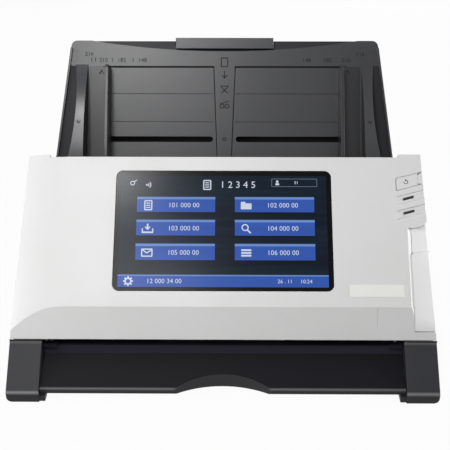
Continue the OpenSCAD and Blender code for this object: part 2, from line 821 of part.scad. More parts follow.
// What the rounded left end takes away, i inside the outer skin
module end_round(i = 0) {
    on_face(0, -flank_x(fold[1])) rotate([0, 0, -edge_turn]) difference() {
        translate([-30, -90, -70]) cube([30 + round_w, 260, 110]);
        translate([round_w, -91, -round_r]) rotate([-90, 0, 0]) cylinder(h = 262, r = round_r - i);
    }
}

// Pocket of the release lever at the right end, grown by i
module lever_pocket(i = 0) {
    on_face() translate([0, 0, -pocket_d - i]) linear_extrude(60) polygon([[pocket_x - i, -17 - i],
        [hw + 20, -17 - i],
        [hw + 20, 68 + i], [pocket_x - i, 59.3 + i]]);
}

wing_c = [flank_x(97) - 4.2, 59.3 + 0.239 * (flank_x(97) - pocket_x) + 3.6];

// One of the three slanted strips on the right wing, from x0 to x1, q0 up to q1 at its left end
slat_x = hw - 25.5;
slat_rise = 0.27;
module slat(q0, q1, x0 = 0, x1 = 60, z0 = -0.9, z1 = 5) {
    translate([slat_x, 0, z0]) linear_extrude(z1 - z0) polygon([[x0, q0 + slat_rise * x0],
        [x1, q0 + slat_rise * x1], [x1, q1 + slat_rise * x1], [x0, q1 + slat_rise * x0]]);
}

glass_low = 11.8;
glass_q = glass_low + glass_h / 2;

module hinge_ear(x, w) {
    along_x(x, x + w) polygon([hinge + [-5, 1], fold - 2 * fd - 2 * fn, fold + 16 * fd - 2 * fn,
        hinge + [5, 1]]);
    rod(hinge, 5.2, x, x + w);
}

// Bevel along the lower edge of a slat
module slat_edge(q0) {
    translate([slat_x, q0, 0]) rotate(atan(slat_rise)) rotate([90, 0, 90]) linear_extrude(60)
        polygon([[0.1, -0.9], [-1.5, 0], [-1.5, 1], [0.1, 1]]);
}

module front_cover() {
    color("#f0f0ee") machine() difference() {
        union() {
            difference() {
                intersection() {
                    along_x(-hw - 5, hw + 5) polygon([band_foot, fold, face_top, slab_top, slab_low, [46,
                        band_foot[1]]]);
                    flanks(0);
                }
                end_round(0);
                difference() {
                    intersection() {
                        along_x(-hw, hw) polygon([band_foot - wall * bn - 20 * bd, fold_in, top_in,
                            top_in - 50 * fn,
                            [110, 10]]);
                        flanks(wall);
                    }
                    end_round(wall);
                    lever_pocket(wall);
                }
            }
            difference() {
                hinge_ear(-post_l - post_w - 5.5, 5.2);
                end_round(0.6);
            }
            hinge_ear(post_r + post_w + 0.3, pocket_x - post_r - post_w - 0.3);
            for (q = [-9.5, 7.5]) {
                on_face(latch_q) difference() {
                    slab(latch_x - 3.6, latch_x + 3.6, q - 1 , q + 3, -latch_depth - 3.6, -1);
                    translate([latch_x, q - 2, -latch_depth]) rotate([-90, 0, 0]) cylinder(h = 8,
                        r = 2 + run_fit);
                }
            }
        }
        rod(hinge, hinge_pin_r + press, -post_l - post_w - 6, -post_l - post_w);
        rod(hinge, hinge_pin_r + press, post_r + post_w, pocket_x + 2);
        difference() {
            union() {
                lever_pocket(0);
                on_face() translate([0, 0, -pocket_d]) linear_extrude(30) difference() {
                    translate(wing_c - [0, 6]) square([20, 6]);
                    translate(wing_c) circle(4);
                }
            }
            on_face() intersection() {
                translate([0, 0, -20]) linear_extrude(30) polygon([[pocket_x - 1, 40.9], [hw + 5, 46.2],
                    [hw + 5, 75], [pocket_x - 1, 75]]);
                translate([0, 80, 0]) rotate([90, 0, 0]) linear_extrude(50) polygon([[pocket_x - 1, -20],
                    [pocket_x - 1, -scoop_d], [hw + 5, -scoop_d - scoop_lean * (hw + 6 - pocket_x)],
                        [hw + 5, -20]]);
            }
        }
        on_face(60) rotate([90, 0, 0]) linear_extrude(77) polygon([[pocket_x - edge_cut, eps],
            [pocket_x + 1, eps], [pocket_x + 1, -edge_cut - 1]]);
        along_x(hw - 43, hw - 42.5) polygon(
            [fold + bn, fold - 16 * bd + bn, fold - 16 * bd - 0.35 * bn, fold - 0.35 * bn]);
        on_face(lever_q) translate([pocket_x - 8, 0, -lever_depth]) rotate([0, 90, 0])
            cylinder(h = 20, r = 1.5 + press);
        on_face() slab(pocket_x + 1, pocket_x + 7.4, 24, 40, -30, -pocket_d + 1);
        on_face(face_len - 2.4) slab(-flank_x(130) + 17, flank_x(130) - 17, 0, 10, -30, 10);
        on_face(glass_q) translate([0, 0, -1.8]) linear_extrude(10) round_plate(glass_w + 0.5,
            glass_h + 0.5, glass_r + 0.25);
        on_face(glass_q) translate([0, 0, -10]) linear_extrude(20) round_plate(glass_w - 5, glass_h - 5, 2);
        on_face() slat(88.7, 99);
        on_face() slat(77.9, 84.2);
        on_face() slat(66.4, 73);
        for (q = [77.9, 66.4]) {
            on_face() slat_edge(q);
        }
        on_face() slat(88.9, 98.8, 0.3, 16.9, -8, 5);
        for (q = [81, 70]) {
            on_face() slat(q - 1, q + 1, 5, 13.2, -8, 5);
        }
    }
}

function lane_up(off) = concat([exit_pt + off * exit_up + [-2.4, -0.4]], lane(-off, exit_slope, 49));
throat_top = top_in - 9.2 * fn - 0.2 * fd;

module cover_guide() {
    color("#2b2d30") machine() difference() {
        union() {
            along_x(-lane_w / 2 + 0.6, lane_w / 2 - 0.6) polygon(concat(lane_up(guide_off), [throat_top],
                [throat_top - 2.6 * fd], flip(lane_up(guide_off + guide_t))));
            along_x(-hw + 18.6, hw - 18.6) polygon([throat_top, throat_top - 2.6 * fd,
                throat_top + 0.62 * (path_at(49, -guide_off) - throat_top) - [2.4, 0],
                throat_top + 0.62 * (path_at(49, -guide_off) - throat_top)]);
            both_sides() along_x(lane_w / 2 - 3, lane_w / 2 - 0.6) polygon(concat(lane(-guide_off, 13,
                48), [throat_top - 2 * fd],
                [top_in - 1 * fn - 6 * fd], [fold_in + 4 * fd - 0.4 * fn]));
            both_sides() rod(pinch_c, 3.6, 88, 91);
            both_sides() along_x(88, 91) polygon([path_at(drive_psi - 2, -guide_off - 1),
                path_at(drive_psi + 2, -guide_off - 1),
                pinch_c + [2.4, 3], pinch_c + [-2.4, 3]]);
            both_sides() rod(exit_pinch_c, 3.2, 48.4, 51.4);
            both_sides() along_x(48.4, 51.4) polygon([exit_pinch_c + [-1, 3], exit_pinch_c + [12, 4],
                exit_pinch_c + [12, -1.2],
                exit_pinch_c + [-1, -3]]);
        }
        lane_windows();
        at_path(top_scan_psi) slab(-scan_x + 2.8, scan_x - 2.8, -8.2, 8.2, -5, 8);
        rod(pinch_c, 2, -87, 87);
        rod(exit_pinch_c, 2, -48, 48);
        both_sides() rod(pinch_c, 1.5 + run_fit, 80, 100);
        both_sides() rod(exit_pinch_c, 1.5 + run_fit, 40, 60);
        at_path(feed_psi) slab(-19.4, 19.4, -11, 9.4, -6, 8.5);
        at_path(feed_psi) slab(-6.4, 6.4, 9, 17.4, 4.6, 8.5);
        at_path(54) slab(28, 44, -9, 4, -8, 8);
    }
}

module hinge_pins() {
    color("#c9cbcd") machine() {
        rod(hinge, hinge_pin_r, -post_l - post_w - 5.5, -post_l - 0.2);
        rod(hinge, hinge_pin_r, post_r + 0.2, pocket_x - 0.2);
    }
}

module display_glass() {
    color("#15161a") machine() on_face(glass_q) translate([0, 0, -1.8]) linear_extrude(1.8)
        round_plate(glass_w, glass_h, glass_r);
}

module display_panel() {
    color("#6d7074") machine() on_face(glass_q) union() {
        slab(-glass_w / 2 + 3.3, glass_w / 2 - 3.3, -glass_h / 2 + 3.3, glass_h / 2 - 3.3, -wall - 0.2,
            -1.8);
        slab(-glass_w / 2 - 2, glass_w / 2 + 2, -glass_h / 2 - 1, glass_h / 2 + 1, -wall - 4.6,
            -wall - 0.03);
    }
}

module display_bracket() {
    color("#a9abad") machine() on_face(glass_q) difference() {
        union() {
            slab(-glass_w / 2 - 12, glass_w / 2 + 12, -glass_h / 2 + 10, glass_h / 2 - 10, -wall - 5.8,
                -wall - 4.6);
            both_sides() slab(glass_w / 2 + 3, glass_w / 2 + 4.2, -glass_h / 2 + 10, glass_h / 2 - 10,
                -wall - 5, -wall);
            both_sides() slab(glass_w / 2 + 3, glass_w / 2 + 12, -glass_h / 2 + 10, glass_h / 2 - 10,
                -wall - 1.2, -wall);
            for (x = [-50, 50], y = [-24, 24]) {
                translate([x, y, -wall - 9]) cylinder(h = 4, r = 3);
            }
        }
        both_sides() slab(glass_w / 2 + 4.2, glass_w / 2 + 20, -80, 80, -wall - 8, -wall - 1.2);
    }
}

module display_board() {
    color("#1f5a3a") machine() on_face(glass_q) union() {
        slab(-58, 58, -31, 31, -wall - 10.6, -wall - 9);
        slab(-20, 8, -14, 14, -wall - 12.4, -wall - 10.6);
        slab(24, 42, -8, 10, -wall - 12, -wall - 10.6);
        slab(-46, -26, 22, 29, -wall - 14, -wall - 10.6);
    }
}

module lamp_lenses() {
    color("#2c3238") machine() on_face() for (q = [81, 70]) {
        slat(q - 0.9, q + 0.9, 5.2, 13, -wall - 1.4, -0.8);
    }
}

module button_board() {
    color("#1f5a3a") machine() on_face() union() {
        slat(66, 98, 7.7, 17, -wall - 5.4, -wall - 4);
        slat(91, 96, 8.4, 13.4, -wall - 4, -wall - 2.6);
        for (q = [81, 70]) {
            slat(q - 1.4, q + 1.4, 8.4, 12, -wall - 4, -wall - 1.6);
        }
        translate([slat_x + 10, 76, -wall - 4.1]) cylinder(h = 4.1, r = 1.4);
        translate([slat_x + 15, 79, -wall - 4.1]) cylinder(h = 4.1, r = 1.4);
    }
}

module power_button() {
    color("#f2f2f0") machine() on_face() union() {
        slat(89.2, 98.5, 0.6, 16.6, -wall - 0.2, -0.5);
        slat(91.6, 95.4, 9, 12.8, -wall - 1, -wall);
    }
}

module top_scan_unit() {
    color("#1d1e20") machine() at_path(top_scan_psi) difference() {
        union() {
            slab(-scan_x, scan_x, -9, 9, guide_off + guide_t + 1, 17);
            slab(-scan_x + 3, scan_x - 3, -8, 8, guide_off + 1.5, 8);
        }
        slab(-scan_x + 8, scan_x - 8, -3, 3, 0, 12);
        slab(-scan_x + 5, scan_x - 5, -7, 7, 15, 20);
    }
}

module top_scan_glass() {
    color("#bcd2cf") machine() at_path(top_scan_psi)
        slab(-scan_x + 3, scan_x - 3, -8, 8, guide_off, guide_off + 1.5);
}

module pad_holder() {
    color("#d5d7d9") machine() at_path(feed_psi) union() {
        slab(-19, 19, -9, 9, 1.9, 7.5);
        both_sides() slab(18, 25, -5, 5, 5.4, 7.5);
    }
}

module separation_pad() {
    color("#7a4a34") machine() at_path(feed_psi) slab(-15, 15, -7.5, 7.5, sheet_gap, 1.9);
}

module pinch_springs() {
    color("#c9cbcd") machine() union() {
        at_path(feed_psi) slab(-6, 6, -9, 17, 7.5, 8.1);
        at_path(feed_psi) slab(-6, 6, 14, 17, 5, 8);
        both_sides() at_path(drive_psi) slab(48, 52, -3, 16, 11, 11.5);
        both_sides() at_path(drive_psi) slab(48, 52, 12, 16, 5, 11.5);
    }
}

module lever_pin() {
    color("#c9cbcd") machine() on_face(lever_q) translate([pocket_x - 3, 0, -lever_depth])
        rotate([0, 90, 0]) cylinder(h = 12.6, r = 1.5);
}

module wheels(c, r, spans, w) {
    for (x = spans) {
        rod(c, r, x - w / 2, x + w / 2);
    }
}

module drive_pinch() {
    color("#b9bbbd") machine() union() {
        rod(pinch_c, 1.5, -92, 92);
        wheels(pinch_c, pinch_r, drive_span, 12);
    }
}

module exit_pinch() {
    color("#b9bbbd") machine() union() {
        rod(exit_pinch_c, 1.5, -52.4, 52.4);
        both_sides() rod(exit_pinch_c, exit_pinch_r, exit_span[0] + 1, exit_span[1] - 1);
    }
}

module release_lever() {
    color("#e6e6e4") machine() difference() {
        intersection() {
            on_face() union() {
                intersection() {
                    translate([0, 0, -7.6]) linear_extrude(8) polygon([[pocket_x + gap, -16.4],
                        [hw + 5, -16.4], [hw + 5, 45], [pocket_x + gap, 40]]);
                    translate([0, 50, 0]) rotate([90, 0, 0]) linear_extrude(70) polygon([[pocket_x, -8],
                        [pocket_x, -lever_low], [hw + 5, -lever_low - lever_lean * (hw + 5 - pocket_x)],
                            [hw + 5, -8]]);
                }
                translate([pocket_x + gap, lever_q, -lever_depth]) rotate([0, 90, 0]) cylinder(h = 12,
                    r = 2.8);
            }
            flanks(0.3);
            along_x(0, hw + 5) polygon([band_foot - 0.2 * bn - 9 * bd, fold - 0.2 * bn + 9 * bd,
                fold + 80 * fd,
                fold + 80 * fd - 30 * fn, fold - 30 * fn]);
        }
        on_face(lever_q) translate([pocket_x - 8, 0, -lever_depth]) rotate([0, 90, 0]) cylinder(h = 18,
            r = 1.5 + run_fit);
    }
}

module latch_hook() {
    color("#c9cbcd") machine() on_face(latch_q) union() {
        translate([latch_x, -10.2, -latch_depth]) rotate([-90, 0, 0]) cylinder(h = 20.4, r = 2);
        slab(latch_x - 2, latch_x + 2, -5, 5, -hook_depth - 2, -latch_depth);
        translate([0, 4, 0]) rotate([90, 0, 0]) linear_extrude(8) polygon([
            [plate_out + 0.4, -hook_depth + 1.8], [latch_x, -hook_depth + 1.8],
            [latch_x, -hook_depth - 2], [plate_out + 2.4, -hook_depth - 2]]);
    }
}

base_pan();
exit_ramp();
rubber_feet();
left_side_plate();
right_side_plate();
lower_guide();
low_scan_unit();
low_scan_glass();
shaft_bushes();
gear_studs();
drive_motor();
main_board();
rear_sockets();
rear_housing();
left_side_cover();
right_side_cover();
input_tray();
tray_back();
base_screws();
feed_shaft();
feed_tyres();
feed_gear();
drive_shaft();
drive_tyres();
drive_gear();
exit_shaft();
exit_tyres();
exit_gear();
big_idler();
small_idler();
motor_pinion();
front_cover();
cover_guide();
hinge_pins();
display_glass();
display_panel();
display_bracket();
display_board();
lamp_lenses();
button_board();
top_scan_unit();
top_scan_glass();
pad_holder();
separation_pad();
pinch_springs();
lever_pin();
drive_pinch();
exit_pinch();
release_lever();
latch_hook();
power_button();
left_guide();
right_guide();
guide_pinion();
tray_extension();
paper_flag();
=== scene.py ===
import bpy
import json
import math
from mathutils import Matrix, Vector


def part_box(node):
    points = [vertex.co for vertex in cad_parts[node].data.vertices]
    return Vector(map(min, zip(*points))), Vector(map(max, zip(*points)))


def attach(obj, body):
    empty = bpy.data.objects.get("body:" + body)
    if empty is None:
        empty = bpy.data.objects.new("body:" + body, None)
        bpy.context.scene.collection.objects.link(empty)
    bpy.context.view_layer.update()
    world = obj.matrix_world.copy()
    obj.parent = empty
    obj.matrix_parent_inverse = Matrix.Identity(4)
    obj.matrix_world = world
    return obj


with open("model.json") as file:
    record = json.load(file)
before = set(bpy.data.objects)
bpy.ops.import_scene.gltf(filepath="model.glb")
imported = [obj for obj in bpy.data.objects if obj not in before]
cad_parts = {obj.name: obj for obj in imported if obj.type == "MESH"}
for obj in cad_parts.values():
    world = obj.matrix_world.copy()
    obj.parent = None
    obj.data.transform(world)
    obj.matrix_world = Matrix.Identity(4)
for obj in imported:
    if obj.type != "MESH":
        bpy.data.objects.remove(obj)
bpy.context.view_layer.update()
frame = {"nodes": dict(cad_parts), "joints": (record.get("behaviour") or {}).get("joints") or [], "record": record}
nodes = frame["nodes"]
jointOf = {j["name"]: j for j in frame["joints"]}
mm = 0.001
print("frame loaded:", len(nodes), "nodes")

# the sloping front face and the leaning tray, each as a place with x right, y up the slope, z out of it;
# the face starts on the glass's front, the tray this far down the slope from the guides' pinion
glass = {"thick": 1.8 * mm}
tray = {"pinionUp": 14.5 * mm}


def slopePlace(origin, normal):
    up = Vector((0, normal.z, -normal.y))
    place = Matrix((Vector((1, 0, 0)), up, normal)).transposed().to_4x4()
    place.translation = origin
    return place


faceNormal = -Vector(jointOf["power_press"]["axis"])
glassLow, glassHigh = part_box("display_glass")
facePlace = slopePlace((glassLow + glassHigh) / 2 + faceNormal * glass["thick"] / 2, faceNormal)
trayNormal = Vector(jointOf["guide_pinion_spin"]["axis"])
trayUp = Vector(jointOf["extension_pull"]["axis"])
pinionAt = Vector(jointOf["guide_pinion_spin"]["pos_m"])
trayPlace = slopePlace(pinionAt - trayUp * tray["pinionUp"], trayNormal)


# helpers for the pieces: steps of rounded corners and figures, how near a ring's points are welded,
# and a figure's height as a share of its text size
rounding = {"corner": 4, "figure": 3, "weld": 0.0001 * mm}
figureShare = 0.7


def pickNone():
    if bpy.context.object and bpy.context.object.mode != "OBJECT":
        bpy.ops.object.mode_set(mode="OBJECT")
    bpy.ops.object.select_all(action="DESELECT")


def pickOnly(*objects):
    pickNone()
    for piece in objects:
        piece.select_set(True)
    bpy.context.view_layer.objects.active = objects[0]


def settle(piece, place=None):
    if place is not None:
        piece.matrix_world = place @ piece.matrix_world
    pickOnly(piece)
    bpy.ops.object.transform_apply(location=True, rotation=True, scale=True)


def joined(name, pieces):
    pickOnly(*pieces)
    if len(pieces) > 1:
        bpy.ops.object.join()
    piece = bpy.context.object
    piece.name = name
    return piece


def drawUp(thick):
    # raises the flat face that is being edited to a solid
    bpy.ops.mesh.select_all(action="SELECT")
    bpy.ops.mesh.extrude_region_move(TRANSFORM_OT_translate={"value": (0, 0, thick)})
    bpy.ops.mesh.select_all(action="SELECT")
    bpy.ops.mesh.normals_make_consistent(inside=False)
    bpy.ops.object.mode_set(mode="OBJECT")


def plate(width, height, thick, corner=0.0, at=(0, 0, 0), turn=0.0):
    # a flat rounded plate: a plane with its corners bevelled, then drawn up
    pickNone()
    bpy.ops.mesh.primitive_plane_add(size=1)
    piece = bpy.context.object
    piece.scale = (width, height, 1)
    bpy.ops.object.transform_apply(location=False, rotation=False, scale=True)
    bpy.ops.object.mode_set(mode="EDIT")
    bpy.ops.mesh.select_all(action="SELECT")
    if corner > 0:
        bpy.ops.mesh.bevel(affect="VERTICES", offset=corner, segments=rounding["corner"])
    drawUp(thick)
    piece.rotation_euler = (0, 0, turn)
    piece.location = at
    return piece


def disc(radius, thick, at=(0, 0, 0), sides=24):
    pickNone()
    bpy.ops.mesh.primitive_circle_add(vertices=sides, radius=radius, fill_type="NGON")
    piece = bpy.context.object
    bpy.ops.object.mode_set(mode="EDIT")
    drawUp(thick)
    piece.location = at
    return piece


def ring(radius, stroke, thick, at=(0, 0, 0), start=0.0, sweep=360.0, steps=24):
    # a band of rectangle section spun about the z axis
    pickNone()
    bpy.ops.mesh.primitive_plane_add(size=1, rotation=(math.pi / 2, 0, 0))
    piece = bpy.context.object
    piece.location = (radius, 0, thick / 2)
    piece.scale = (stroke, thick, 1)
    bpy.ops.object.transform_apply(location=True, rotation=True, scale=True)
    bpy.ops.object.mode_set(mode="EDIT")
    bpy.ops.mesh.select_all(action="SELECT")
    bpy.ops.mesh.spin(steps=steps, angle=math.radians(sweep), center=(0, 0, 0), axis=(0, 0, 1))
    bpy.ops.mesh.select_all(action="SELECT")
    bpy.ops.mesh.remove_doubles(threshold=rounding["weld"])
    bpy.ops.mesh.normals_make_consistent(inside=False)
    if abs(sweep) >= 360:
        bpy.ops.mesh.delete_loose()
    bpy.ops.object.mode_set(mode="OBJECT")
    piece.rotation_euler = (0, 0, math.radians(start))
    piece.location = at
    return piece


def numerals(words, height, thick, at=(0, 0, 0)):
    pickNone()
    bpy.ops.object.text_add()
    piece = bpy.context.object
    piece.data.body = words
    piece.data.size = height / figureShare
    piece.data.extrude = thick / 2
    piece.data.align_x = "CENTER"
    piece.data.align_y = "CENTER"
    piece.data.resolution_u = rounding["figure"]
    bpy.ops.object.convert(target="MESH")
    piece = bpy.context.object
    piece.location = (at[0], at[1], at[2] + thick / 2)
    return piece


def finishPiece(name, parts, place, body, finish):
    # joins the parts, moves them to their place and gives the piece its finish, slot and body
    for part in parts:
        settle(part)
    piece = joined(name, parts)
    settle(piece, place)
    piece.data.materials.clear()
    piece.data.materials.append(finish)
    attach(piece, body)


# shader groups shared by the finishes; a mix node that blends colours has them in these sockets
grain = {"detail": 3.0, "coarse": 0.4, "bump": 0.2 * mm}
cloud = {"detail": 5.0, "low": 0.35, "high": 0.65}
mixShare, mixFirst, mixSecond, mixResult = 0, 6, 7, 2


def newGroup(name, inputs, outputs):
    group = bpy.data.node_groups.new(name, "ShaderNodeTree")
    for socketName, kind, value in inputs:
        socket = group.interface.new_socket(name=socketName, in_out="INPUT", socket_type=kind)
        if value is not None:
            socket.default_value = value
    for socketName, kind in outputs:
        group.interface.new_socket(name=socketName, in_out="OUTPUT", socket_type=kind)
    return group, group.nodes.new("NodeGroupInput"), group.nodes.new("NodeGroupOutput")


def makeMouldGrain():
    # fine spark-eroded texture of a moulding tool
    group, start, end = newGroup(
        "mouldGrain",
        [("Vector", "NodeSocketVector", None), ("Scale", "NodeSocketFloat", 1500.0)],
        [("Height", "NodeSocketFloat")],
    )
    fine = group.nodes.new("ShaderNodeTexNoise")
    fine.inputs["Detail"].default_value = grain["detail"]
    coarse = group.nodes.new("ShaderNodeTexVoronoi")
    blend = group.nodes.new("ShaderNodeMix")
    blend.inputs["Factor"].default_value = grain["coarse"]
    links = group.links
    for texture in (fine, coarse):
        links.new(start.outputs["Vector"], texture.inputs["Vector"])
        links.new(start.outputs["Scale"], texture.inputs["Scale"])
    links.new(fine.outputs["Fac"], blend.inputs["A"])
    links.new(coarse.outputs["Distance"], blend.inputs["B"])
    links.new(blend.outputs["Result"], end.inputs["Height"])
    return group


def makeHandling():
    # slow cloudy change that handling leaves: lighter and duller in patches
    group, start, end = newGroup(
        "handling",
        [
            ("Vector", "NodeSocketVector", None),
            ("Scale", "NodeSocketFloat", 14.0),
            ("Clean", "NodeSocketColor", (0.8, 0.8, 0.8, 1)),
            ("Touched", "NodeSocketColor", (0.75, 0.75, 0.75, 1)),
            ("Rough", "NodeSocketFloat", 0.4),
            ("Spread", "NodeSocketFloat", 0.08),
        ],
        [("Color", "NodeSocketColor"), ("Roughness", "NodeSocketFloat")],
    )
    noise = group.nodes.new("ShaderNodeTexNoise")
    noise.inputs["Detail"].default_value = cloud["detail"]
    mask = group.nodes.new("ShaderNodeMapRange")
    mask.inputs["From Min"].default_value = cloud["low"]
    mask.inputs["From Max"].default_value = cloud["high"]
    tint = group.nodes.new("ShaderNodeMix")
    tint.data_type = "RGBA"
    rough = group.nodes.new("ShaderNodeMath")
    rough.operation = "MULTIPLY_ADD"
    links = group.links
    links.new(start.outputs["Vector"], noise.inputs["Vector"])
    links.new(start.outputs["Scale"], noise.inputs["Scale"])
    links.new(noise.outputs["Fac"], mask.inputs["Value"])
    links.new(mask.outputs["Result"], tint.inputs[mixShare])
    links.new(start.outputs["Clean"], tint.inputs[mixFirst])
    links.new(start.outputs["Touched"], tint.inputs[mixSecond])
    links.new(tint.outputs[mixResult], end.inputs["Color"])
    links.new(mask.outputs["Result"], rough.inputs[0])
    links.new(start.outputs["Spread"], rough.inputs[1])
    links.new(start.outputs["Rough"], rough.inputs[2])
    links.new(rough.outputs[0], end.inputs["Roughness"])
    return group


def makeSunken():
    # 1 where a point lies deeper than Depth under a plane
    group, start, end = newGroup(
        "sunken",
        [
            ("Vector", "NodeSocketVector", None),
            ("Origin", "NodeSocketVector", None),
            ("Inward", "NodeSocketVector", None),
            ("Depth", "NodeSocketFloat", 0.0008),
        ],
        [("Mask", "NodeSocketFloat")],
    )
    offset = group.nodes.new("ShaderNodeVectorMath")
    offset.operation = "SUBTRACT"
    inward = group.nodes.new("ShaderNodeVectorMath")
    inward.operation = "DOT_PRODUCT"
    deeper = group.nodes.new("ShaderNodeMath")
    deeper.operation = "GREATER_THAN"
    links = group.links
    links.new(start.outputs["Vector"], offset.inputs[0])
    links.new(start.outputs["Origin"], offset.inputs[1])
    links.new(offset.outputs["Vector"], inward.inputs[0])
    links.new(start.outputs["Inward"], inward.inputs[1])
    links.new(inward.outputs["Value"], deeper.inputs[0])
    links.new(start.outputs["Depth"], deeper.inputs[1])
    links.new(deeper.outputs[0], end.inputs["Mask"])
    return group


def makeRubbedEdge():
    # a painted highlight along a line across the machine: 1 on the line, 0 at Reach from it
    group, start, end = newGroup(
        "paintedHighlightLine",
        [
            ("Vector", "NodeSocketVector", None),
            ("Line", "NodeSocketVector", None),
            ("Reach", "NodeSocketFloat", 0.001),
        ],
        [("Mask", "NodeSocketFloat")],
    )
    section = group.nodes.new("ShaderNodeVectorMath")
    section.operation = "MULTIPLY"
    section.inputs[1].default_value = (0, 1, 1)
    away = group.nodes.new("ShaderNodeVectorMath")
    away.operation = "DISTANCE"
    fade = group.nodes.new("ShaderNodeMapRange")
    fade.inputs["From Min"].default_value = 0.0
    fade.inputs["To Min"].default_value = 1.0
    fade.inputs["To Max"].default_value = 0.0
    links = group.links
    links.new(start.outputs["Vector"], section.inputs[0])
    links.new(section.outputs["Vector"], away.inputs[0])
    links.new(start.outputs["Line"], away.inputs[1])
    links.new(away.outputs["Value"], fade.inputs["Value"])
    links.new(start.outputs["Reach"], fade.inputs["From Max"])
    links.new(fade.outputs["Result"], end.inputs["Mask"])
    return group


mouldGrain = makeMouldGrain()
handling = makeHandling()
sunken = makeSunken()
paintedHighlightLine = makeRubbedEdge()


def newFinish(name):
    finish = bpy.data.materials.new(name)
    finish.use_nodes = True
    tree = finish.node_tree
    bsdf = tree.nodes["Principled BSDF"]
    coords = tree.nodes.new("ShaderNodeTexCoord")
    return finish, tree, bsdf, coords


def useGroup(tree, group, coords, values):
    node = tree.nodes.new("ShaderNodeGroup")
    node.node_tree = group
    tree.links.new(coords.outputs["Object"], node.inputs["Vector"])
    for key, value in values.items():
        node.inputs[key].default_value = value
    return node


def rgba(red, green, blue):
    return (red, green, blue, 1)


def handled(tree, coords, clean, touched, rough, spread, scale):
    look = {
        "Clean": rgba(*clean),
        "Touched": rgba(*touched),
        "Rough": rough,
        "Spread": spread,
        "Scale": scale,
    }
    return useGroup(tree, handling, coords, look)


def bumped(tree, bsdf, height, strength):
    bump = tree.nodes.new("ShaderNodeBump")
    bump.inputs["Strength"].default_value = strength
    bump.inputs["Distance"].default_value = grain["bump"]
    tree.links.new(height, bump.inputs["Height"])
    tree.links.new(bump.outputs["Normal"], bsdf.inputs["Normal"])


def plastic(
    name,
    clean,
    touched,
    rough,
    spread=0.08,
    fine=1500.0,
    depth=0.03,
    scale=14.0,
    specular=0.5,
    patches=(),
):
    finish, tree, bsdf, coords = newFinish(name)
    hand = handled(tree, coords, clean, touched, rough, spread, scale)
    mould = useGroup(tree, mouldGrain, coords, {"Scale": fine})
    bumped(tree, bsdf, mould.outputs["Height"], depth)
    colour, rough = hand.outputs["Color"], hand.outputs["Roughness"]
    for patch in patches:
        # painted shade or light under a plane, or a painted highlight along a line
        if "reach" in patch:
            mask = useGroup(tree, paintedHighlightLine, coords, {"Line": patch["line"], "Reach": patch["reach"]})
        else:
            place = {"Origin": patch["origin"], "Inward": -patch["normal"], "Depth": patch["depth"]}
            mask = useGroup(tree, sunken, coords, place)
        tint = tree.nodes.new("ShaderNodeMix")
        tint.data_type = "RGBA"
        tint.inputs[mixSecond].default_value = rgba(*patch["colour"])
        sheen = tree.nodes.new("ShaderNodeMix")
        sheen.inputs["B"].default_value = patch["rough"]
        for mix in (tint, sheen):
            tree.links.new(mask.outputs["Mask"], mix.inputs[mixShare])
        tree.links.new(colour, tint.inputs[mixFirst])
        tree.links.new(rough, sheen.inputs["A"])
        colour, rough = tint.outputs[mixResult], sheen.outputs["Result"]
    tree.links.new(colour, bsdf.inputs["Base Color"])
    tree.links.new(rough, bsdf.inputs["Roughness"])
    bsdf.inputs["Specular IOR Level"].default_value = specular
    return finish


metalLook = {"spread": 0.12, "scale": 40.0, "lines": 700.0, "depth": 0.05}


def metal(name, clean, touched, rough, stretch=(1, 1, 1)):
    # drawn or rolled metal: its grain is a noise stretched along one way
    finish, tree, bsdf, coords = newFinish(name)
    hand = handled(tree, coords, clean, touched, rough, metalLook["spread"], metalLook["scale"])
    mapping = tree.nodes.new("ShaderNodeMapping")
    mapping.inputs["Scale"].default_value = stretch
    lines = tree.nodes.new("ShaderNodeTexNoise")
    lines.inputs["Scale"].default_value = metalLook["lines"]
    tree.links.new(coords.outputs["Object"], mapping.inputs["Vector"])
    tree.links.new(mapping.outputs["Vector"], lines.inputs["Vector"])
    bumped(tree, bsdf, lines.outputs["Fac"], metalLook["depth"])
    tree.links.new(hand.outputs["Color"], bsdf.inputs["Base Color"])
    tree.links.new(hand.outputs["Roughness"], bsdf.inputs["Roughness"])
    bsdf.inputs["Metallic"].default_value = 1.0
    return finish


def scanGlass():
    finish, tree, bsdf, coords = newFinish("scanGlass")
    clean, touched = (0.8, 0.9, 0.88), (0.74, 0.85, 0.84)
    hand = handled(tree, coords, clean, touched, rough=0.02, spread=0.03, scale=30.0)
    tree.links.new(hand.outputs["Color"], bsdf.inputs["Base Color"])
    tree.links.new(hand.outputs["Roughness"], bsdf.inputs["Roughness"])
    bsdf.inputs["Transmission Weight"].default_value = 0.9
    return finish


def circuitBoard():
    # solder mask with paler tracks showing through it
    finish, tree, bsdf, coords = newFinish("circuitBoard")
    tracks = tree.nodes.new("ShaderNodeTexBrick")
    tracks.inputs["Color1"].default_value = rgba(0.02, 0.13, 0.06)
    tracks.inputs["Color2"].default_value = rgba(0.03, 0.16, 0.08)
    tracks.inputs["Mortar"].default_value = rgba(0.05, 0.24, 0.12)
    tracks.inputs["Scale"].default_value = 220.0
    tracks.inputs["Mortar Size"].default_value = 0.03
    hand = useGroup(tree, handling, coords, {"Scale": 60.0, "Rough": 0.3, "Spread": 0.15})
    tree.links.new(coords.outputs["Object"], tracks.inputs["Vector"])
    tree.links.new(tracks.outputs["Color"], bsdf.inputs["Base Color"])
    tree.links.new(hand.outputs["Roughness"], bsdf.inputs["Roughness"])
    return finish
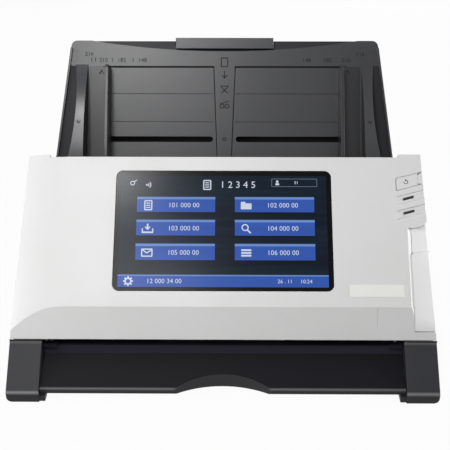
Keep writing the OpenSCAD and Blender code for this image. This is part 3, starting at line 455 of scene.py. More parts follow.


# painted light and shade laid over some finishes: painted shade, dull black, down in the tray's slots and on what
# lies well under the tray; painted light on the ramp's front face and on the wall behind it under the cover; and
# painted highlights along lines on the ramp and the base's arms
# painted shade: dull black on whatever lies deeper than the depth under the tray's plane, so the slots look dark
slotPaintedShade = {
    "origin": trayPlace.translation,
    "normal": trayNormal,
    "depth": 1.2 * mm,
    "colour": (0.001, 0.001, 0.001),
    "rough": 0.95,
}
# painted shade: the same dull black, deeper under the tray, on the pieces seen through the slots
underPaintedShade = dict(slotPaintedShade, depth=3.0 * mm)
# painted light: a paler black on the ramp's front face, which lies under the slope's plane
rampFrontPaintedLight = {
    "origin": Vector((0, -84.5, 22.0)) * mm,
    "normal": Vector((0, -0.419, 0.908)),
    "depth": 0.3 * mm,
    "colour": (0.045, 0.045, 0.048),
    "rough": 0.4,
}
# painted light: a paler, bluish black on the wall behind the ramp, in the shade under the cover
rampWallPaintedLight = {
    "origin": Vector((0, -84.7, 0)) * mm,
    "normal": Vector((0, -1, 0)),
    "depth": 0.1 * mm,
    "colour": (0.021, 0.0195, 0.031),
    "rough": 0.5,
}
# painted highlights: paler lines along the ramp's front edge, the arms' front edges and the arms' lips
rampHighlight = {
    "line": Vector((0, -110.2, 10.0)) * mm,
    "reach": 1.5 * mm,
    "colour": (0.16, 0.16, 0.165),
    "rough": 0.35,
}
armHighlight = {
    "line": Vector((0, -114.2, 9.5)) * mm,
    "reach": 1.9 * mm,
    "colour": (0.22, 0.22, 0.225),
    "rough": 0.35,
}
lipHighlight = {
    "line": Vector((0, -86.4, 33.2)) * mm,
    "reach": 1.4 * mm,
    "colour": (0.14, 0.14, 0.145),
    "rough": 0.35,
}

# one finish for each material slot of the record
finishes = {
    "white_shell": plastic(
        "whiteShell",
        (0.78, 0.78, 0.78),
        (0.755, 0.755, 0.75),
        0.42,
        fine=1800.0,
        depth=0.02,
    ),
    "light_plastic": plastic("palePlastic", (0.92, 0.92, 0.92), (0.89, 0.89, 0.89), 0.34, depth=0.015),
    "black_base": plastic(
        "blackBase",
        (0.012, 0.0125, 0.016),
        (0.015, 0.0155, 0.019),
        0.5,
        spread=0.04,
        fine=1300.0,
        depth=0.06,
        specular=0.3,
        patches=(armHighlight, lipHighlight),
    ),
    "black_tray": plastic(
        "blackTray",
        (0.018, 0.019, 0.022),
        (0.022, 0.023, 0.026),
        0.31,
        spread=0.03,
        fine=1000.0,
        depth=0.1,
        specular=0.56,
        patches=(slotPaintedShade,),
    ),
    "black_guide": plastic(
        "blackGuide",
        (0.012, 0.012, 0.014),
        (0.016, 0.016, 0.018),
        0.34,
        depth=0.04,
        specular=0.35,
        patches=(underPaintedShade,),
    ),
    "foot_rubber": plastic(
        "footRubber",
        (0.015, 0.015, 0.015),
        (0.025, 0.025, 0.025),
        0.85,
        fine=900.0,
        depth=0.1,
    ),
    "roller_rubber": plastic(
        "rollerRubber",
        (0.20, 0.205, 0.215),
        (0.25, 0.255, 0.265),
        0.75,
        fine=1100.0,
        depth=0.15,
    ),
    "plate_steel": metal(
        "plateSteel",
        (0.55, 0.56, 0.57),
        (0.48, 0.49, 0.50),
        0.35,
        stretch=(1, 1, 0.05),
    ),
    "shaft_steel": metal(
        "groundSteel",
        (0.62, 0.63, 0.64),
        (0.55, 0.56, 0.57),
        0.22,
        stretch=(0.05, 1, 1),
    ),
    "gear_plastic": plastic(
        "gearPlastic",
        (0.74, 0.71, 0.61),
        (0.68, 0.65, 0.55),
        0.38,
        depth=0.03,
        scale=60.0,
    ),
    "pinion_brass": metal(
        "pinionBrass",
        (0.72, 0.55, 0.25),
        (0.60, 0.46, 0.22),
        0.25,
        stretch=(0.05, 1, 1),
    ),
    "pinch_plastic": plastic("pinchPlastic", (0.50, 0.51, 0.52), (0.45, 0.46, 0.47), 0.4, scale=40.0),
    "scan_glass": scanGlass(),
    "display_black": plastic(
        "blackGlass",
        (0.0008, 0.0008, 0.001),
        (0.0012, 0.0012, 0.0014),
        0.195,
        spread=0.02,
        depth=0.0,
        specular=0.10,
    ),
    "display_module": metal(
        "panelFrame",
        (0.50, 0.52, 0.54),
        (0.44, 0.46, 0.48),
        0.4,
        stretch=(0.05, 1, 1),
    ),
    "board_green": circuitBoard(),
    "socket_metal": metal("socketShell", (0.55, 0.56, 0.57), (0.48, 0.49, 0.50), 0.3),
    "lamp_lens": plastic(
        "lampLens",
        (0.020, 0.022, 0.026),
        (0.030, 0.032, 0.036),
        0.15,
        depth=0.0,
        scale=80.0,
    ),
}

# nodes that don't wear their slot's finish: the ramp's black is darker than the base's, partly painted shade under
# the cover's overhang, and the guides have a black of their own
rampShadedFinish = plastic(
    "rampBlackPaintedShade",
    (0.0028, 0.0025, 0.0045),
    (0.0040, 0.0036, 0.0060),
    0.48,
    fine=1300.0,
    depth=0.06,
    specular=0.11,
    patches=(rampWallPaintedLight, rampFrontPaintedLight, rampHighlight),
)
fenceFinish = plastic(
    "fenceBlack",
    (0.014, 0.0145, 0.017),
    (0.017, 0.0175, 0.020),
    0.30,
    spread=0.03,
    fine=1000.0,
    depth=0.1,
    specular=0.42,
    patches=(slotPaintedShade,),
)
ownFinish = {
    "exit_ramp": rampShadedFinish,
    "power_button": finishes["white_shell"],
    "left_guide": fenceFinish,
    "right_guide": fenceFinish,
}
slotOf = {s["node"]: s["material_slot"] for s in frame["record"]["subparts"]}
for name, node in nodes.items():
    node.data.materials.clear()
    node.data.materials.append(ownFinish.get(name, finishes[slotOf[name]]))
print("finishes on the CAD nodes:", len(finishes))

# softened edges on the moulded pieces, in millimetres: the loose triangles are welded, flat ones merged,
# then the turns bevelled; the front cover's fold is slight, so that its limit is lower
softEdges = {
    "front_cover": 0.22,
    "left_side_cover": 0.4,
    "right_side_cover": 0.4,
    "rear_housing": 0.4,
    "base_pan": 0.5,
    "input_tray": 0.15,
    "tray_back": 0.5,
    "tray_extension": 0.4,
    "left_guide": 0.3,
    "right_guide": 0.3,
    "release_lever": 0.5,
    "power_button": 0.25,
    "display_glass": 0.15,
    "rubber_feet": 0.2,
}
edgeWork = {
    "weld": 0.002 * mm,
    "flat": math.radians(0.6),
    "steps": 2,
    "turn": math.radians(24),
    "foldTurn": math.radians(14),
    "splitTurn": math.radians(28),
    "weight": 100,
    "rampWeight": 50,
}


def addWeld(node):
    weld = node.modifiers.new("weld", "WELD")
    weld.merge_threshold = edgeWork["weld"]


def addEvenShade(node, weight):
    even = node.modifiers.new("evenShade", "WEIGHTED_NORMAL")
    even.mode = "FACE_AREA"
    even.weight = weight
    even.keep_sharp = False


def softenEdges(name, radius):
    node = nodes[name]
    addWeld(node)
    flat = node.modifiers.new("flatFaces", "DECIMATE")
    flat.decimate_type = "DISSOLVE"
    flat.angle_limit = edgeWork["flat"]
    soft = node.modifiers.new("softEdge", "BEVEL")
    soft.width = radius * mm
    soft.segments = edgeWork["steps"]
    soft.limit_method = "ANGLE"
    soft.angle_limit = edgeWork["foldTurn" if name == "front_cover" else "turn"]
    soft.use_clamp_overlap = False
    addEvenShade(node, edgeWork["weight"])


for name, node in nodes.items():
    pickOnly(node)
    bpy.ops.object.shade_smooth()
    if name in softEdges:
        softenEdges(name, softEdges[name])
    else:
        addWeld(node)
        split = node.modifiers.new("sharpTurns", "EDGE_SPLIT")
        split.split_angle = edgeWork["splitTurn"]
    if name == "exit_ramp":
        addEvenShade(node, edgeWork["rampWeight"])
print("edges softened:", len(softEdges))

# lit screen under the glass: thin layers on the face, glossy as the glass itself
screen = {
    "width": 154.2 * mm,
    "height": 85.9 * mm,
    "down": -0.6 * mm,
    "layer": 0.05 * mm,
    "columns": ((0.080, 0.460), (0.555, 0.940)),
    "rows": ((0.196, 0.334), (0.404, 0.546), (0.619, 0.764)),
    "tileCorner": 0.5 * mm,
    "tileEdge": 0.022,
    "shadeAside": 0.004,
    "shadeBelow": 0.018,
    "shadeCorner": 1.2 * mm,
    "bar": 0.893,
    "barEdge": 0.012,
}
screenLook = {
    "stretch": (6.0, 160.0, 160.0),
    "detail": 4.0,
    "low": 0.38,
    "high": 0.62,
    "dimmer": 0.93,
    "black": 0.002,
    "rough": 0.205,
    "specular": 0.10,
}


def screenFinish(name, colour, streaks=None):
    # light from the panel through the glass, with the glass's own gloss on top
    finish, tree, bsdf, coords = newFinish(name)
    mapping = tree.nodes.new("ShaderNodeMapping")
    mapping.inputs["Scale"].default_value = screenLook["stretch"]
    lines = tree.nodes.new("ShaderNodeTexNoise")
    lines.inputs["Scale"].default_value = 1.0
    lines.inputs["Detail"].default_value = screenLook["detail"]
    tint = tree.nodes.new("ShaderNodeMix")
    tint.data_type = "RGBA"
    other = streaks or tuple(c * screenLook["dimmer"] for c in colour)
    tint.inputs[mixFirst].default_value = rgba(*colour)
    tint.inputs[mixSecond].default_value = rgba(*other)
    spread = tree.nodes.new("ShaderNodeMapRange")
    spread.inputs["From Min"].default_value = screenLook["low"]
    spread.inputs["From Max"].default_value = screenLook["high"]
    tree.links.new(coords.outputs["Object"], mapping.inputs["Vector"])
    tree.links.new(mapping.outputs["Vector"], lines.inputs["Vector"])
    tree.links.new(lines.outputs["Fac"], spread.inputs["Value"])
    tree.links.new(spread.outputs["Result"], tint.inputs[mixShare])
    tree.links.new(tint.outputs[mixResult], bsdf.inputs["Emission Color"])
    black = screenLook["black"]
    bsdf.inputs["Base Color"].default_value = rgba(black, black, black)
    bsdf.inputs["Emission Strength"].default_value = 1.0
    bsdf.inputs["Roughness"].default_value = screenLook["rough"]
    bsdf.inputs["Specular IOR Level"].default_value = screenLook["specular"]
    return finish


screenFinishes = {
    "ground": screenFinish("screenGround", (0.0005, 0.005, 0.016), (0.003, 0.012, 0.022)),
    "shade": screenFinish("screenShade", (0.002, 0.004, 0.010)),
    "tile": screenFinish("screenTile", (0.030, 0.090, 0.40)),
    "edge": screenFinish("screenTileEdge", (0.14, 0.25, 0.58)),
    "mark": screenFinish("screenMark", (0.60, 0.67, 0.78)),
    "line": screenFinish("screenLine", (0.10, 0.14, 0.19)),
}


def screenAt(u, v, layer):
    # u from the left, v from the top, both 0 to 1; layer counts up from the glass
    return (
        (u - 0.5) * screen["width"],
        screen["down"] + (0.5 - v) * screen["height"],
        layer * screen["layer"],
    )


def screenPatch(u0, u1, v0, v1, layer, corner=0.0):
    return plate(
        (u1 - u0) * screen["width"],
        (v1 - v0) * screen["height"],
        screen["layer"],
        corner,
        screenAt((u0 + u1) / 2, (v0 + v1) / 2, layer),
    )


def finishScreen(name, parts, kind):
    finishPiece(name, parts, facePlace, "cover", screenFinishes[kind])


# signs on the tiles: each is drawn in shares of its size and stroke
tileMarks = {
    "size": 8.4 * mm,
    "stroke": 0.9 * mm,
    "figure": 3.6 * mm,
    "left": 0.055,
    "middle": 0.60,
    "down": 0.008,
}


def sheetMark(x, y, z, thick):
    size, stroke = tileMarks["size"], tileMarks["stroke"]
    parts = [plate(size * 0.62, stroke, thick, at=(x, y + s * size * 0.42, z)) for s in (-1, 1)]
    parts += [plate(stroke, size * 0.84, thick, at=(x + s * size * 0.31, y, z)) for s in (-1, 1)]
    parts += [plate(size * 0.36, stroke * 0.8, thick, at=(x, y + k * size * 0.2, z)) for k in (-1, 0, 1)]
    return parts


def trayMark(x, y, z, thick):
    size, stroke = tileMarks["size"], tileMarks["stroke"]
    return [
        plate(size, stroke * 1.3, thick, at=(x, y - size * 0.36, z)),
        plate(stroke, size * 0.4, thick, at=(x - size * 0.46, y - size * 0.2, z)),
        plate(stroke, size * 0.4, thick, at=(x + size * 0.46, y - size * 0.2, z)),
        plate(stroke * 1.4, size * 0.5, thick, at=(x, y + size * 0.18, z)),
        plate(size * 0.34, stroke, thick, at=(x - size * 0.1, y + 0.02 * size, z), turn=-0.8),
        plate(size * 0.34, stroke, thick, at=(x + size * 0.1, y + 0.02 * size, z), turn=0.8),
    ]


def lensMark(x, y, z, thick):
    size, stroke = tileMarks["size"], tileMarks["stroke"]
    return [
        ring(size * 0.27, stroke, thick, at=(x - size * 0.1, y + size * 0.1, z)),
        plate(size * 0.42, stroke * 1.3, thick, at=(x + size * 0.25, y - size * 0.27, z), turn=-0.8),
    ]


def folderMark(x, y, z, thick):
    size = tileMarks["size"]
    return [
        plate(size * 0.96, size * 0.56, thick, size * 0.06, at=(x, y - size * 0.08, z)),
        plate(size * 0.4, size * 0.2, thick, size * 0.05, at=(x - size * 0.27, y + size * 0.24, z)),
    ]


def stackMark(x, y, z, thick):
    size, stroke = tileMarks["size"], tileMarks["stroke"]
    parts = []
    for k in (-1, 0, 1):
        parts.append(plate(size * 0.9, stroke * 1.5, thick, stroke * 0.4, (x, y + k * size * 0.25, z)))
    return parts


def letterMark(x, y, z, thick):
    size, stroke = tileMarks["size"], tileMarks["stroke"]
    parts = [plate(size * 0.96, stroke, thick, at=(x, y + s * size * 0.32, z)) for s in (-1, 1)]
    parts += [plate(stroke, size * 0.64, thick, at=(x + s * size * 0.45, y, z)) for s in (-1, 1)]
    for s in (-1, 1):
        at = (x + s * size * 0.22, y + size * 0.13, z)
        parts.append(plate(size * 0.56, stroke, thick, at=at, turn=s * 0.65))
    return parts


def cogMark(x, y, z, thick, size):
    parts = [ring(size * 0.3, size * 0.16, thick, at=(x, y, z), steps=20)]
    teeth = 8
    for k in range(teeth):
        angle = k * 2 * math.pi / teeth
        at = (x + 0.43 * size * math.cos(angle), y + 0.43 * size * math.sin(angle), z)
        parts.append(plate(size * 0.18, size * 0.18, thick, at=at, turn=angle))
    return parts


# places on the screen, as u and v, and sizes of what stands in the bar at its foot and at its head
screenFoot = {
    "cog": (0.05, 0.95),
    "cogSize": 7.0 * mm,
    "number": (0.22, 0.95),
    "numberHigh": 3.4 * mm,
    "clock": (0.84, 0.95),
    "clockHigh": 2.8 * mm,
}
screenHead = {
    "sheet": (0.42, 0.085),
    "count": (0.57, 0.085),
    "countHigh": 5.2 * mm,
    "waves": (0.125, 0.065),
    "wavesDown": 1.8 * mm,
    "waveStep": 1.5 * mm,
    "waveStroke": 0.7 * mm,
    "plug": (0.055, 0.065),
    "plugRing": 1.5 * mm,
    "plugDown": 0.4 * mm,
    "plugStroke": 0.6 * mm,
    "plugArm": (2.2 * mm, 1.4 * mm, 2.6 * mm),
    "user": (0.762, 0.063),
    "userFace": (0.9 * mm, 1.0 * mm),
    "userBody": (-1.2 * mm, 3.0 * mm, 1.6 * mm, 0.7 * mm),
    "userNumber": (0.855, 0.063),
    "userHigh": 2.2 * mm,
    "box": (0.735, 0.955, 0.028, 0.098),
    "boxLine": (0.0017, 0.003),
}


def footMarks(thick, layer):
    x, y, z = screenAt(*screenFoot["cog"], layer)
    parts = cogMark(x, y, z, thick, screenFoot["cogSize"])
    number, clock = screenAt(*screenFoot["number"], layer), screenAt(*screenFoot["clock"], layer)
    parts.append(numerals("12 000 34 00", screenFoot["numberHigh"], thick, number))
    parts.append(numerals("26 . 11     10:24", screenFoot["clockHigh"], thick, clock))
    return parts


def headMarks(thick, layer):
    # a sheet with a figure, two small signs on the left, and a user's sign in the box on the right
    parts = sheetMark(*screenAt(*screenHead["sheet"], layer), thick)
    count = screenAt(*screenHead["count"], layer)
    parts.append(numerals("1 2 3 4 5", screenHead["countHigh"], thick, count))
    x, y, z = screenAt(*screenHead["waves"], layer)
    root, stroke = (x, y - screenHead["wavesDown"], z), screenHead["waveStroke"]
    parts.append(disc(stroke, thick, root, 12))
    for k in (1, 2):
        parts.append(ring(k * screenHead["waveStep"], stroke, thick, root, start=45, sweep=90, steps=8))
    x, y, z = screenAt(*screenHead["plug"], layer)
    stroke = screenHead["plugStroke"]
    parts.append(ring(screenHead["plugRing"], stroke, thick, (x, y - screenHead["plugDown"], z), steps=16))
    aside, up, long = screenHead["plugArm"]
    parts.append(plate(long, stroke, thick, at=(x + aside, y + up, z), turn=0.6))
    x, y, z = screenAt(*screenHead["user"], layer)
    up, radius = screenHead["userFace"]
    parts.append(disc(radius, thick, (x, y + up, z), 16))
    up, wide, high, corner = screenHead["userBody"]
    parts.append(plate(wide, high, thick, corner, (x, y + up, z)))
    number = screenAt(*screenHead["userNumber"], layer)
    parts.append(numerals("01", screenHead["userHigh"], thick, number))
    return parts


def headBox(layer):
    u0, u1, v0, v1 = screenHead["box"]
    aside, down = screenHead["boxLine"]
    parts = [screenPatch(u0, u1, v - down, v + down, layer) for v in (v0, v1)]
    parts += [screenPatch(u - aside, u + aside, v0, v1, layer) for u in (u0, u1)]
    return parts


def makeScreen():
    thick, bar = screen["layer"], screen["bar"]
    aside, below = screen["shadeAside"], screen["shadeBelow"]
    finishScreen("screen_ground", [screenPatch(0, 1, 0, 1, 0)], "ground")
    shades, tiles, edges, marks = [], [], [], []
    pictures = ((sheetMark, folderMark), (trayMark, lensMark), (letterMark, stackMark))
    for row, (v0, v1) in enumerate(screen["rows"]):
        for column, (u0, u1) in enumerate(screen["columns"]):
            shades.append(screenPatch(u0 - aside, u1 + aside, v0, v1 + below, 1, screen["shadeCorner"]))
            tiles.append(screenPatch(u0, u1, v0, v1, 2, screen["tileCorner"]))
            edges.append(screenPatch(u0, u1, v0, v0 + screen["tileEdge"], 3))
            middle = (v0 + v1) / 2 + tileMarks["down"]
            x, y, z = screenAt(u0 + tileMarks["left"], middle, 3)
            marks += pictures[row][column](x, y, z, thick)
            label = screenAt(u0 + (u1 - u0) * tileMarks["middle"], middle, 3)
            marks.append(numerals(f"10{row * 2 + column + 1} 000 00", tileMarks["figure"], thick, label))
    tiles.append(screenPatch(0, 1, bar, 1, 2))
    edges.append(screenPatch(0, 1, bar, bar + screen["barEdge"], 3))
    marks += footMarks(thick, 3)
    marks += headMarks(thick, 2)
    lines = headBox(2)
    finishScreen("screen_shades", shades, "shade")
    finishScreen("screen_tiles", tiles, "tile")
    finishScreen("screen_tile_edges", edges, "edge")
    finishScreen("screen_marks", marks, "mark")
    finishScreen("screen_lines", lines, "line")


makeScreen()
print("screen made")

# bare plate low on the face, and the sign on the power button
faceSigns = {
    "plate": (92.0 * mm, 131.7 * mm, -50.45 * mm, -41.45 * mm),
    "plateThick": 0.25 * mm,
    "plateCorner": 0.5 * mm,
    "signAcross": 0.45,
    "topLayer": 0.2 * mm,
    "signRadius": 1.5 * mm,
    "signStroke": 0.55 * mm,
    "signThick": 0.06 * mm,
}
plateFinish = plastic("platePaper", (0.93, 0.93, 0.90), (0.91, 0.91, 0.88), 0.3, depth=0.0, scale=60.0)
signFinish = plastic("signGrey", (0.10, 0.10, 0.11), (0.13, 0.13, 0.14), 0.5, scale=90.0)


def makeFaceSigns():
    x0, x1, y0, y1 = faceSigns["plate"]
    middle = ((x0 + x1) / 2, (y0 + y1) / 2, 0)
    bare = plate(x1 - x0, y1 - y0, faceSigns["plateThick"], faceSigns["plateCorner"], middle)
    finishPiece("bare_plate", [bare], facePlace, "cover", plateFinish)
    inFace = facePlace.inverted()
    corners = [inFace @ v.co for v in nodes["power_button"].data.vertices]
    top = max(c.z for c in corners)
    upper = [c for c in corners if top - c.z < faceSigns["topLayer"]]
    left, right = min(c.x for c in upper), max(c.x for c in upper)
    x = left + (right - left) * faceSigns["signAcross"]
    y = (min(c.y for c in upper) + max(c.y for c in upper)) / 2
    radius, stroke, thick = faceSigns["signRadius"], faceSigns["signStroke"], faceSigns["signThick"]
    sign = [ring(radius, stroke, thick, (x, y, top), start=120, sweep=300, steps=20)]
    sign.append(plate(stroke, radius * 1.1, thick, at=(x, y + radius * 0.75, top)))
    finishPiece("button_sign", sign, facePlace, "button", signFinish)


# pale linings in the narrow gaps round the power button and the lever: x across, q up the face from the
# fold, z out of it, in millimetres
gapLining = {
    "middle": 58.05 * mm,  # from the fold up to the glass's middle
    "wide": 0.24 * mm,
    "button": {
        "left": 129.5 * mm,
        "rise": 0.27,
        "x": (0.45, 16.75),
        "q": (89.05, 98.65),
        "z": (-2.4, -1.05),
    },
    "ledge": {"x": (137.5, 138.8), "q": (0.2, 39.6), "z": (-2.3, -1.0)},
    "foot": {"x": (138.6, 138.84), "q": (-13.2, -0.1), "z": (-4.2, -2.0), "bend": 19.8},
    "top": {
        "at": (146.4, 42.35, -5.2),
        "long": 15.2,
        "wide": 0.9,
        "thick": 1.2,
        "rise": 0.237,
        "fall": 0.4,
    },
}


def makeLinings():
    wide, middle = gapLining["wide"], gapLining["middle"]
    button = gapLining["button"]
    (x0, x1), (q0, q1), (z0, z1) = button["x"], button["q"], button["z"]
    lean = math.atan(button["rise"])
    parts = []
    for x in (x0, x1):
        at = (button["left"] + x * mm, (q0 + q1) / 2 * mm + button["rise"] * x * mm - middle, z0 * mm)
        parts.append(plate(wide, (q1 - q0) * mm, (z1 - z0) * mm, at=at))
    for q in (q0, q1):
        x = (x0 + x1) / 2
        at = (button["left"] + x * mm, (q + button["rise"] * x) * mm - middle, z0 * mm)
        parts.append(plate((x1 - x0) * mm / math.cos(lean), wide, (z1 - z0) * mm, at=at, turn=lean))
    for side in (gapLining["ledge"], gapLining["foot"]):
        (x0, x1), (q0, q1), (z0, z1) = side["x"], side["q"], side["z"]
        strip = plate((x1 - x0) * mm, (q1 - q0) * mm, (z1 - z0) * mm)
        settle(strip)
        bend = Matrix.Rotation(math.radians(side.get("bend", 0)), 4, "X")
        along = Matrix.Translation(((x0 + x1) / 2 * mm, (q0 + q1) / 2 * mm, z0 * mm))
        strip.matrix_world = Matrix.Translation((0, -middle, 0)) @ bend @ along
        parts.append(strip)
    top = gapLining["top"]
    strip = plate(top["long"] * mm, top["wide"] * mm, top["thick"] * mm)
    settle(strip)
    x, q, z = top["at"]
    spot = Matrix.Translation((x * mm, q * mm - middle, (z - top["thick"]) * mm))
    rise = Matrix.Rotation(math.atan(top["rise"]), 4, "Z")
    fall = Matrix.Rotation(math.atan(top["fall"]), 4, "Y")
    strip.matrix_world = spot @ rise @ fall
    parts.append(strip)
    finishPiece("gap_linings", parts, facePlace, "cover", finishes["white_shell"])


makeFaceSigns()
makeLinings()
print("plate, button sign and linings made")

# rubber strips on the arms' lips, where the closed cover rests
coverRest = {"x": (132.0, 154.9), "y": (-86.15, -85.25), "z": (33.9, 34.85), "corner": 0.3 * mm}


def makeCoverRests():
    (x0, x1), (y0, y1), (z0, z1) = coverRest["x"], coverRest["y"], coverRest["z"]
    parts = []
    for side in (-1, 1):
        at = (side * (x0 + x1) / 2 * mm, (y0 + y1) / 2 * mm, z0 * mm)
        parts.append(plate((x1 - x0) * mm, (y1 - y0) * mm, (z1 - z0) * mm, coverRest["corner"], at))
    finishPiece("cover_rests", parts, Matrix.Identity(4), "base", finishes["foot_rubber"])


makeCoverRests()

# tray: painted shade as thin dark sheets on the floor of the side channels, along the step of the sunk panels and
# over the scooped head, sheet widths in millimetres and small signs
trayTrim = {
    "thick": 0.12 * mm,
    "length": 94.6 * mm,
    "halfTop": 124.0 * mm,
    "halfFoot": 136.25 * mm,
    "rim": 1.8 * mm,
    "hollow": {"radius": 203.0 * mm, "across": 321.2 * mm, "up": 44.0 * mm, "sides": 360},
    "channel": (-7.0 * mm, 74.0 * mm),
    "scoop": {
        "rise": 8.5 * mm,
        "half": 108.0 * mm,
        "lean": -12.0,
        "down": -0.5 * mm,
        "short": 0.2 * mm,
        "sides": 900,
    },
    "tab": (40.2 * mm, 3.6 * mm),
    "widths": ((216, 110.0, 83.6), (210, 98.4, 78.6), (182, 83.6, 78.6), (148, 66.6, 78.6)),
    "figure": 3.3 * mm,
    "signs": {
        "sheet": 77.0 * mm,
        "arrow": 67.2 * mm,
        "cross": 54.4 * mm,
        "clip": 41.4 * mm,
        "dot": 14.6 * mm,
    },
    "stroke": 0.75 * mm,
    "signScale": 1.35,
    "panel": (8.4 * mm, 5.2 * mm, 96.0 * mm, 73.9 * mm, -7.0 * mm),
    "panelDeep": 0.6 * mm,
    "panelLine": (1.3 * mm, 0.7 * mm),
    "railSign": (115.4 * mm, 26.8 * mm, 150.0 * mm, 20.5 * mm),
}
# painted shade: darker blacks for the sheets in the channels, along the panels' steps and over the head
channelShadeFinish = plastic("channelPaintedShade", (0.010, 0.010, 0.013), (0.012, 0.012, 0.015), 0.5, specular=0.26)
stepShadowFinish = plastic("stepShadowBlack", (0.004, 0.004, 0.005), (0.006, 0.006, 0.008), 0.5, specular=0.12)
headShadeFinish = plastic(
    "trayHeadPaintedShade",
    (0.010, 0.0105, 0.013),
    (0.013, 0.0135, 0.016),
    0.42,
    depth=0.05,
    specular=0.25,
)
markFinish = plastic(
    "trayMarks",
    (0.006, 0.006, 0.007),
    (0.008, 0.008, 0.009),
    0.5,
    scale=90.0,
    specular=0.2,
)


def keepBelow(piece, at, facing):
    # cuts the piece by a plane and throws away the side that the plane faces
    pickOnly(piece)
    bpy.ops.object.mode_set(mode="EDIT")
    bpy.ops.mesh.select_all(action="SELECT")
    bpy.ops.mesh.bisect(plane_co=at, plane_no=facing, use_fill=True, clear_outer=True)
    bpy.ops.object.mode_set(mode="OBJECT")


# a thin dark sheet of painted shade on the floor of one side channel
def channelFloor(side):
    hollow = trayTrim["hollow"]
    piece = disc(hollow["radius"], trayTrim["thick"], (hollow["across"], hollow["up"], 0), hollow["sides"])
    settle(piece)
    low, high = trayTrim["channel"]
    foot, top = trayTrim["halfFoot"], trayTrim["halfTop"]
    across = Vector((trayTrim["length"], foot - top, 0)).normalized()
    keepBelow(piece, (foot - trayTrim["rim"], 0, 0), across)
    keepBelow(piece, (0, high, 0), (0, 1, 0))
    keepBelow(piece, (0, low, 0), (0, -1, 0))
    if side < 0:
        piece.matrix_world = Matrix.Rotation(math.pi, 4, "Y") @ piece.matrix_world
        piece.matrix_world = Matrix.Translation((0, 0, trayTrim["thick"])) @ piece.matrix_world
        settle(piece)
    return piece


# a thin dark sheet of painted shade over part of the scooped head, leaning with it
def headPart(left, right, top):
    scoop = trayTrim["scoop"]
    radius = (scoop["half"] ** 2 + scoop["rise"] ** 2) / (2 * scoop["rise"])
    piece = disc(radius, trayTrim["thick"], (0, radius, scoop["down"]), scoop["sides"])
    settle(piece)
    keepBelow(piece, (0, top, 0), (0, 1, 0))
    keepBelow(piece, (right, 0, 0), (1, 0, 0))
    keepBelow(piece, (left, 0, 0), (-1, 0, 0))
    lean = Matrix.Rotation(math.radians(scoop["lean"]), 4, "X")
    piece.matrix_world = Matrix.Translation((0, trayTrim["length"] - scoop["rise"], 0)) @ lean
    return piece


def traySigns():
    thick, stroke, places = trayTrim["thick"], trayTrim["stroke"], trayTrim["signs"]
    parts = []
    # the sheet widths on both sides, then the signs down the middle, drawn at a scale
    for words, across, up in trayTrim["widths"]:
        for side in (-1, 1):
            parts.append(numerals(str(words), trayTrim["figure"], thick, (side * across * mm, up * mm, 0)))
    k = trayTrim["signScale"] * mm
    y = places["sheet"]
    parts += [plate(4.2 * k, stroke, thick, at=(0, y + s * 2.6 * k, 0)) for s in (-1, 1)]
    parts += [plate(stroke, 5.2 * k, thick, at=(s * 1.9 * k, y, 0)) for s in (-1, 1)]
    y = places["arrow"]
    parts.append(plate(stroke, 4.4 * k, thick, at=(0, y, 0)))
    for s in (-1, 1):
        parts.append(plate(2.6 * k, stroke, thick, at=(s * 0.8 * k, y - 1.4 * k, 0), turn=s * 0.8))
    y = places["cross"]
    parts += [plate(5.4 * k, stroke, thick, at=(0, y, 0), turn=s * 0.75) for s in (-1, 1)]
    parts.append(plate(5.4 * k, stroke, thick, at=(0, y + 2.4 * k, 0)))
    y = places["clip"]
    parts += [ring(1.2 * k, stroke, thick, (s * 1.5 * k, y, 0), steps=16) for s in (-1, 1)]
    parts.append(plate(5.6 * k, stroke, thick, at=(0, y + 2.2 * k, 0), turn=0.35))
    y = places["dot"]
    parts.append(ring(0.9 * k, stroke, thick, (0, y, 0), steps=16))
    # a small sign on each curved rail
    across, up, radius, high = trayTrim["railSign"]
    fall = math.asin(up / radius)
    for side in (-1, 1):
        sign = ring(1.1 * mm, stroke, thick, start=40, sweep=280, steps=16)
        settle(sign)
        place = Matrix.Translation((side * across, up, high - radius + radius * math.cos(fall)))
        sign.matrix_world = place @ Matrix.Rotation(-fall, 4, "X")
        parts.append(sign)
    return parts


def panelLines():
    # painted shadow of the step along the top and inner edges of the two sunk panels
    inTop, inFoot, out, top, foot = trayTrim["panel"]
    upper, inner = trayTrim["panelLine"]
    thick, deep = trayTrim["thick"], trayTrim["panelDeep"]
    lean = math.atan2(inTop - inFoot, top - foot)
    parts = []
    for side in (-1, 1):
        middle = (side * (inTop + out) / 2, top - upper / 2, -deep)
        parts.append(plate(out - inTop, upper, thick, at=middle))
        middle = (side * ((inTop + inFoot) / 2 + inner / 2), (top + foot) / 2, -deep)
        parts.append(plate(inner, (top - foot) / math.cos(lean), thick, at=middle, turn=-side * lean))
    return parts


def makeTrayTrim():
    floors = [channelFloor(1), channelFloor(-1)]
    finishPiece("channel_painted_shade", floors, trayPlace, "base", channelShadeFinish)
    finishPiece("panel_step_shadows", panelLines(), trayPlace, "base", stepShadowFinish)
    reach, back = trayTrim["tab"]
    scoop = trayTrim["scoop"]
    half, rise = scoop["half"], scoop["rise"]
    head = [
        headPart(-half, -reach, rise - scoop["short"]),
        headPart(reach, half, rise - scoop["short"]),
        headPart(-reach, reach, rise - back),
    ]
    finishPiece("tray_head_painted_shade", head, trayPlace, "base", headShadeFinish)
    finishPiece("tray_marks", traySigns(), trayPlace, "base", markFinish)


makeTrayTrim()
print("tray trim and marks made")

# camera of the photograph: 450 pixels square, 872 pixels of focal length, placed from the base's front edge
photo = {
    "size": 450,
    "focal": 872,
    "down": 32.0,
    "turn": 0.5,
    "roll": -0.1,
    "aside": 6.0 * mm,
    "before": 462.4 * mm,
    "above": 440.4 * mm,
    "sensor": 36,
    "clip": (0.05, 20),
}


